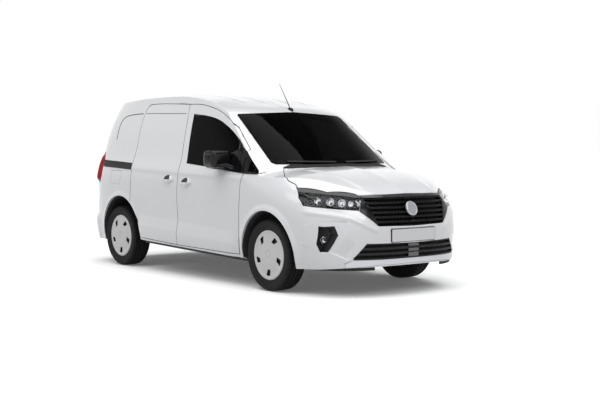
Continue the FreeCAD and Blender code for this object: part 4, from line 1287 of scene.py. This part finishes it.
# %% [markdown]
# Behind the bumper's lower edge hangs a black strip that closes the view under the nose.

# %% Strip under the bumper
STRIP_LOW, STRIP_HIGH = 0.236, 0.268


def strip_points(side):
    """Inner line under the bumper's edge, in metres."""
    points = []
    for y in steps(0.40, 0.80, 0.04):
        edge = drop(skin_rays, "nose", y * side, 0.285)
        if edge:
            points.append((edge.x - 0.030, y * side))
    return points


for side, name in SIDES:
    mesh = bmesh.new()
    rows = []
    for x, y in strip_points(side):
        rows.append([mesh.verts.new((x, y, z)) for z in (STRIP_LOW, STRIP_HIGH)])
    for one, two in zip(rows, rows[1:]):
        mesh.faces.new([one[0], two[0], two[1], one[1]])
    face_out(mesh, Vector((-1, 0, 0)))
    strip = new_piece("under_strip_" + name, mesh, GRAINED, "body")
    thicken(strip, 0.012)
print("strips under the bumper:", 2)

# %% [markdown]
# ## Glass, mirrors and roof
# The windscreen has a black border, a pod for its sensors and a mirror behind it. The door
# mirrors get their reflecting faces, which look to the rear.

# %% Windscreen border and pod
screen_rays = rays_of([other_skins["windscreen"]])
MIRROR_OUTLINE = [(0, 9), (30, 9), (36, 5), (38, 0), (36, -5), (30, -9), (0, -9)]
SCREEN_TOP = [(-615, 1588), (615, 1588), (612, 1612), (0, 1640), (-612, 1612)]
SCREEN_FOOT = [(-655, 1150), (655, 1150), (655, 1176), (0, 1172), (-655, 1176)]
POD = [(-70, 1560), (70, 1560), (92, 1634), (-92, 1634)]
for name, outline in zip(("top", "foot", "pod"), (SCREEN_TOP, SCREEN_FOOT, POD)):
    patch(
        "screen_" + name, outline, "nose", GLOSS_BLACK, "body", lift=-5.6, depth=1.2, cell=30,
        rays=screen_rays,
    )
mirror_place, mirror_aim = (0.50, 0, 1.515), (-1, 0, -0.1)
turned_at(
    "inside_mirror", MIRROR_OUTLINE, 32, TRIM, mirror_place, mirror_aim, degrees=40, stretch=3.1,
)
tube("mirror_stalk", [(0.50, 0, 1.53), (0.575, 0, 1.585)], 0.008, TRIM, "body")
print("screen pieces:", 5)

# %% Faces of the door mirrors
for side, name in SIDES:
    low, high = sorted((872 * side, 1057 * side))
    outline = rounded_box(low, high, 1124, 1246, 34)
    slab("mirror_face_" + name, outline, "tail", -0.4965, 3, MIRROR, "front_door_" + name)
print("mirror faces:", 2)

# %% [markdown]
# The antenna stands on a low drop of black plastic: a ball that is stretched along the roof
# and half sunk in it.

# %% Antenna foot
bpy.ops.mesh.primitive_uv_sphere_add(segments=24, ring_count=12, radius=1)
foot = bpy.context.object
foot.name = "antenna_foot"
foot.scale = (0.052, 0.022, 0.026)
low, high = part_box("antenna")
top = drop(skin_rays, "top", high[0] - 0.004, 0)
foot.location = top + Vector((-0.020, 0, 0.001))
settle(foot)
smooth(foot, 60)
dress(foot, GRAINED)
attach(foot, "body")
print("antenna foot at", tuple(round(v, 3) for v in top))

# %% [markdown]
# The tail lamps bulge out round the corner of the body and end in black tips. Their skins
# are cut into a grid and pushed like the sides, most in the middle of their height.

# %% Tail lamps round the corner
tail_skin = other_skins["tail_lamps"]
cut_grid(tail_skin, (1, steps(-0.885, 0.885, 0.018)), (2, steps(0.905, 1.23, 0.018)))
for place in open_points(tail_skin):
    crown = fade(place.z, 0.890, 0.960) * (1 - fade(place.z, 1.17, 1.245))
    edge = fade(abs(place.y), 0.77, 0.83) * fade(-place.x, 1.865, 1.96)
    push_corner(place, LAMP_BULGE * edge * crown)
tail_skin.data.materials.append(GLOSS_BLACK)
for polygon in tail_skin.data.polygons:
    polygon.material_index = int(not 0.925 <= polygon.center.z <= 1.205)
weigh(tail_skin)
print("tail lamp faces:", len(tail_skin.data.polygons))

# %% [markdown]
# ## The cab
# The seats are padded: each pad starts as a block a little smaller than its place, becomes
# an even grid by a voxel remesh, and is blown up softly as cloth. How far it may swell is
# capped, and its sewn channels are pressed in afterwards.

# %% Blocks with rounded edges


def block(name, outline, y_low, y_high, material, body=None, edge=6.0, rounds=2):
    """Outline of (x, z) in millimetres, extruded across the van, with rounded edges."""
    bpy.ops.mesh.primitive_circle_add(vertices=len(outline), radius=1, fill_type="NGON")
    piece = bpy.context.object
    piece.name = name
    for vertex, (x, z) in zip(piece.data.vertices, outline):
        vertex.co = (x / 1000, y_low / 1000, z / 1000)
    edit(piece)
    move = {"value": (0, (y_high - y_low) / 1000, 0)}
    bpy.ops.mesh.extrude_region_move(TRANSFORM_OT_translate=move)
    bpy.ops.mesh.select_all(action="SELECT")
    bpy.ops.mesh.normals_make_consistent(inside=False)
    leave_edit()
    modify(piece, "BEVEL", width=edge / 1000, segments=rounds, limit_method="ANGLE")
    smooth(piece, 35)
    dress(piece, material)
    if body:
        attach(piece, body)
    return piece


# %% Blow up a pad


def padded(piece, voxel, cap):
    """Remeshes a block, blows it up as cloth and caps how far each point may move."""
    pick(piece)
    piece.data.remesh_voxel_size = voxel
    bpy.ops.object.voxel_remesh()
    start = [vertex.co.copy() for vertex in piece.data.vertices]
    cloth = piece.modifiers.new("pad", "CLOTH")
    cloth.settings.use_pressure = True
    cloth.settings.uniform_pressure_force = 4
    cloth.settings.effector_weights.gravity = 0
    cloth.point_cache.frame_start = 1
    cloth.point_cache.frame_end = 20
    for frame_number in range(1, 21):
        bpy.context.scene.frame_set(frame_number)
    bpy.ops.object.modifier_apply(modifier=cloth.name)
    bpy.context.scene.frame_set(1)
    for vertex, old in zip(piece.data.vertices, start):
        move = vertex.co - old
        if move.length > cap:
            vertex.co = old + move.normalized() * cap


def press_channels(piece, centre, direction, out, places, depth):
    """Sewn channels across a pad: lines at places along direction, pressed in from out."""
    for vertex in piece.data.vertices:
        offset = vertex.co - Vector(centre)
        if offset.dot(out) > 0.012:
            for place in places:
                away = (offset.dot(direction) - place) / 0.006
                vertex.co -= out * depth * math.exp(-away * away)


def finish_pad(piece, body):
    modify(piece, "SUBSURF", levels=1, render_levels=1)
    smooth(piece, 60)
    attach(piece, body)


# %% Seat pads
SEAT_X, SEAT_Z = 130, 366
CUSHION = [
    (128, 226), (415, 226), (470, 252), (488, 298), (474, 332), (430, 338), (300, 324), (150, 316),
    (122, 290),
]
BACKREST = [
    (40, 330), (138, 344), (112, 480), (76, 650), (38, 846), (8, 866), (-58, 862), (-78, 842),
    (-44, 600), (-8, 345),
]
HEADREST = [(-66, 912), (10, 905), (14, 1040), (-2, 1058), (-58, 1060), (-72, 1044)]


def seat_outline(points):
    return [(SEAT_X + x, SEAT_Z + z) for x, z in points]


BACK_UP, BACK_OUT = (-0.17, 0, 0.985), (0.985, 0, 0.17)
# Each pad: name, outline, half width, centre, run of its channels, way out, channels.
PADS = (
    ("cushion", CUSHION, 232, (0.43, 0, 0.66), (1, 0, 0), (0, 0, 1), (-0.10, 0.04)),
    ("backrest", BACKREST, 226, (0.145, 0, 0.96), BACK_UP, BACK_OUT, (-0.12, 0.04, 0.16)),
    ("headrest", HEADREST, 132, (0.10, 0, 1.35), (0, 0, 1), (1, 0, 0), ()),
)
pads = []
for name, outline, half_width, centre, direction, out, places in PADS:
    pad_piece = block(name, seat_outline(outline), -half_width, half_width, CLOTH, None, 28, 3)
    padded(pad_piece, 0.008, 0.010)
    direction, out = Vector(direction).normalized(), Vector(out).normalized()
    press_channels(pad_piece, centre, direction, out, places, 0.006)
    pads.append(pad_piece)
    print(name, "points:", len(pad_piece.data.vertices))

# %% Seats in their places
SEAT_BASE = [(14, 2), (366, 2), (376, 60), (412, 222), (60, 222), (8, 120)]
SEAT_SHELL = [(-12, 330), (30, 326), (-62, 846), (-84, 846), (-90, 800), (-52, 560)]
for side, name in SIDES:
    middle = 390 * side
    for pad_piece in pads:
        pad_name = "seat_%s_%s" % (pad_piece.name, name)
        copy = copy_to(pad_piece, pad_name, (0, middle / 1000, 0), False)
        finish_pad(copy, "body")
        if pad_piece.name == "cushion":
            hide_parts("seat_" + name)
    for part, outline, half, edge in (("base", SEAT_BASE, 200, 10), ("shell", SEAT_SHELL, 205, 8)):
        part_name = "seat_%s_%s" % (part, name)
        block(part_name, seat_outline(outline), middle - half, middle + half, TRIM, "body", edge)
    for y in (middle - 55, middle + 55):
        post = [(0.102, y / 1000, 1.215), (0.102, y / 1000, 1.29)]
        tube("seat_post_%s_%d" % (name, y), post, 0.006, STEEL, "body")
for pad_piece in pads:
    bpy.data.objects.remove(pad_piece)
print("seats:", 2)

# %% [markdown]
# The dashboard is dark and only seen through tinted glass. Its skin gets a hood over the
# instruments, a blank screen and four round vents.

# %% Dashboard
weigh(skin("dashboard", TRIM, 30))
skin("steering_wheel", TRIM, 50)
HOOD = [(800, 1046), (772, 1062), (778, 1092), (860, 1118), (960, 1112), (990, 1080)]
VENT = [(0, 2), (30, 2), (33, 7), (40, 7), (44, 0), (44, -20), (0, -20)]
block("instrument_hood", HOOD, 250, 530, TRIM, "body", 10)
SCREEN_BLOCK = [(790, 1000), (782, 1006), (806, 1120), (820, 1122), (826, 1060)]
block("cab_screen", SCREEN_BLOCK, -120, 120, GLOSS_BLACK, "body", 3)
for y in (-700, -230, 190, 690):
    vent_place = (0.786, y / 1000, 0.985)
    turned_at("vent_%d" % y, VENT, 32, GLOSS_BLACK, vent_place, (-1, 0, 0.1), 35)
print("cab pieces on the dashboard:", 6)

# %% [markdown]
# ## The rear
# The photo doesn't show the rear. It gets what such a van has: lamps that wrap round the
# corner, a blank plate, a handle beside the seam and a high stop lamp.

# %% Rear doors' fittings
TAIL_SKINS = ("rear_door_left", "rear_door_right", "roof_panel", "rear_bumper")
tail_rays = rays_of([painted_skins[node] for node in TAIL_SKINS])


def on_tail(name, outline, material, body, lift, depth=3.0):
    patch(name, outline, "tail", material, body, lift, depth, cell=24, rays=tail_rays)


on_left = "rear_door_left"
on_tail("plate_holder_rear", rounded_box(72, 608, 742, 868, 12), GRAINED, on_left, 1.0)
on_tail("plate_rear", rounded_box(80, 600, 748, 862, 6), PLATE, on_left, 3.0)
on_tail("rear_handle_cup", rounded_box(40, 250, 905, 965, 20), GRAINED, on_left, 0.8)
on_tail("rear_handle", rounded_box(58, 232, 922, 948, 12), PAINT, on_left, 5.0, 5.0)
on_tail("stop_lamp", rounded_box(-110, 110, 1756, 1772, 7), RED_LAMP, "body", 1.5)
for side, name in SIDES:
    low, high = sorted([560 * side, 690 * side])
    on_tail("reflector_rear_" + name, rounded_box(low, high, 380, 412, 8), RED_LAMP, "body", 1.5)
print("rear fittings:", 7)

# %% [markdown]
# ## Studio
# A pale floor takes the soft shadow. Camera, mirror and glass rays see it and the world
# plain white, so the van stands on white as in a studio, while the lamps light it. High up,
# where a studio has its dark ceiling, mirror and glass rays see grey, which keeps the
# windows dark.

# %% Floor
bpy.ops.mesh.primitive_plane_add(size=400, location=(0, 0, 0))
floor = bpy.context.object
floor.name = "studio_floor"
settle(floor)
floor_pale = finish("floor_pale", (0.25, 0.25, 0.25), 0.8, mottle=0.005, shine=0.1)
tree = floor_pale.node_tree
shader = tree.nodes["Principled BSDF"]
shader.inputs["Emission Color"].default_value = (1, 1, 1, 1)
shader.inputs["Emission Strength"].default_value = 0.10


def larger(tree, one, two):
    """The larger of two numbers in a node tree."""
    either = add_node(tree, "Math", {}, {0: one, 1: two})
    either.operation = "MAXIMUM"
    return either.outputs["Value"]


def seen_plain(tree):
    """One number: 1 for camera, mirror and glass rays, and 0 for light that scatters."""
    kinds = add_node(tree, "LightPath")
    share = kinds.outputs["Is Camera Ray"]
    for kind in ("Is Glossy Ray", "Is Transmission Ray"):
        share = larger(tree, share, kinds.outputs[kind])
    return share


white = add_node(tree, "Mix")
white.data_type = "RGBA"
mix_in = [socket for socket in white.inputs if socket.type == "RGBA"]
mix_out = [socket for socket in white.outputs if socket.type == "RGBA"]
mix_in[1].default_value = (1, 1, 1, 1)
tint = shader.inputs["Base Color"].links[0].from_socket
tree.links.new(seen_plain(tree), white.inputs["Factor"])
tree.links.new(tint, mix_in[0])
tree.links.new(mix_out[0], shader.inputs["Base Color"])
dress(floor, floor_pale)
print("floor:", floor.name)

# %% World
world = bpy.data.worlds.new("studio")
bpy.context.scene.world = world
world.use_nodes = True
tree = world.node_tree
dim = tree.nodes["Background"]
dim.inputs["Color"].default_value = (0.93, 0.96, 1.0, 1)
dim.inputs["Strength"].default_value = 0.25
way = add_node(tree, "TexCoord").outputs["Generated"]
height = add_node(tree, "SeparateXYZ", {}, {"Vector": way}).outputs["Z"]
CEILING = {"From Min": 0.30, "From Max": 0.62, "To Min": 1.0, "To Max": 0.15}
ceiling = add_node(tree, "MapRange", CEILING, {"Value": height})
ceiling.interpolation_type = "SMOOTHSTEP"
camera_ray = add_node(tree, "LightPath").outputs["Is Camera Ray"]
level = larger(tree, camera_ray, ceiling.outputs["Result"])
bright = add_node(tree, "Background", {"Strength": 1.0}, {"Color": level})
sources = {0: seen_plain(tree), 1: dim.outputs["Background"], 2: bright.outputs["Background"]}
mix = add_node(tree, "MixShader", {}, sources)
tree.links.new(mix.outputs["Shader"], tree.nodes["World Output"].inputs["Surface"])
print("world:", world.name)

# %% [markdown]
# One very wide sun is the soft light from above. Two large panels, high at the side and
# before the nose, give the forms of the sides a little more light on their upper faces.

# %% Lamps


def lamp(name, place, target, size, power):
    bpy.ops.object.light_add(type="AREA", location=place)
    light = bpy.context.object
    light.name = name
    light.data.shape = "RECTANGLE"
    light.data.size = size[0]
    light.data.size_y = size[1]
    light.data.energy = power
    aim = Vector(target) - Vector(place)
    light.rotation_euler = aim.to_track_quat("-Z", "Y").to_euler()


sky_turn = (math.radians(3), math.radians(4), 0)
bpy.ops.object.light_add(type="SUN", location=(0, 0, 8), rotation=sky_turn)
sky_lamp = bpy.context.object
sky_lamp.name = "soft_sky"
sky_lamp.data.energy = 2.35
sky_lamp.data.angle = math.radians(75)
lamp("side_light", (0.5, -8, 6.5), (0, 0, 1), (8, 3), 150)
lamp("nose_light", (8.5, -2, 5.5), (1.5, 0, 0.8), (5, 2.5), 150)
print("lamps:", 3)

# %% [markdown]
# The camera's place, turn and lens come from a fit to the wheels, the roof and the plate.

# %% Camera
bpy.ops.object.camera_add(location=(9.03128, -6.63137, 1.30874))
camera = bpy.context.object
camera.rotation_euler = (math.radians(87.124), math.radians(-0.072), math.radians(51.747))
camera.data.sensor_width = 36
camera.data.lens = 64.497
camera.data.clip_end = 200
bpy.context.scene.camera = camera
bpy.context.scene.view_settings.view_transform = "Standard"
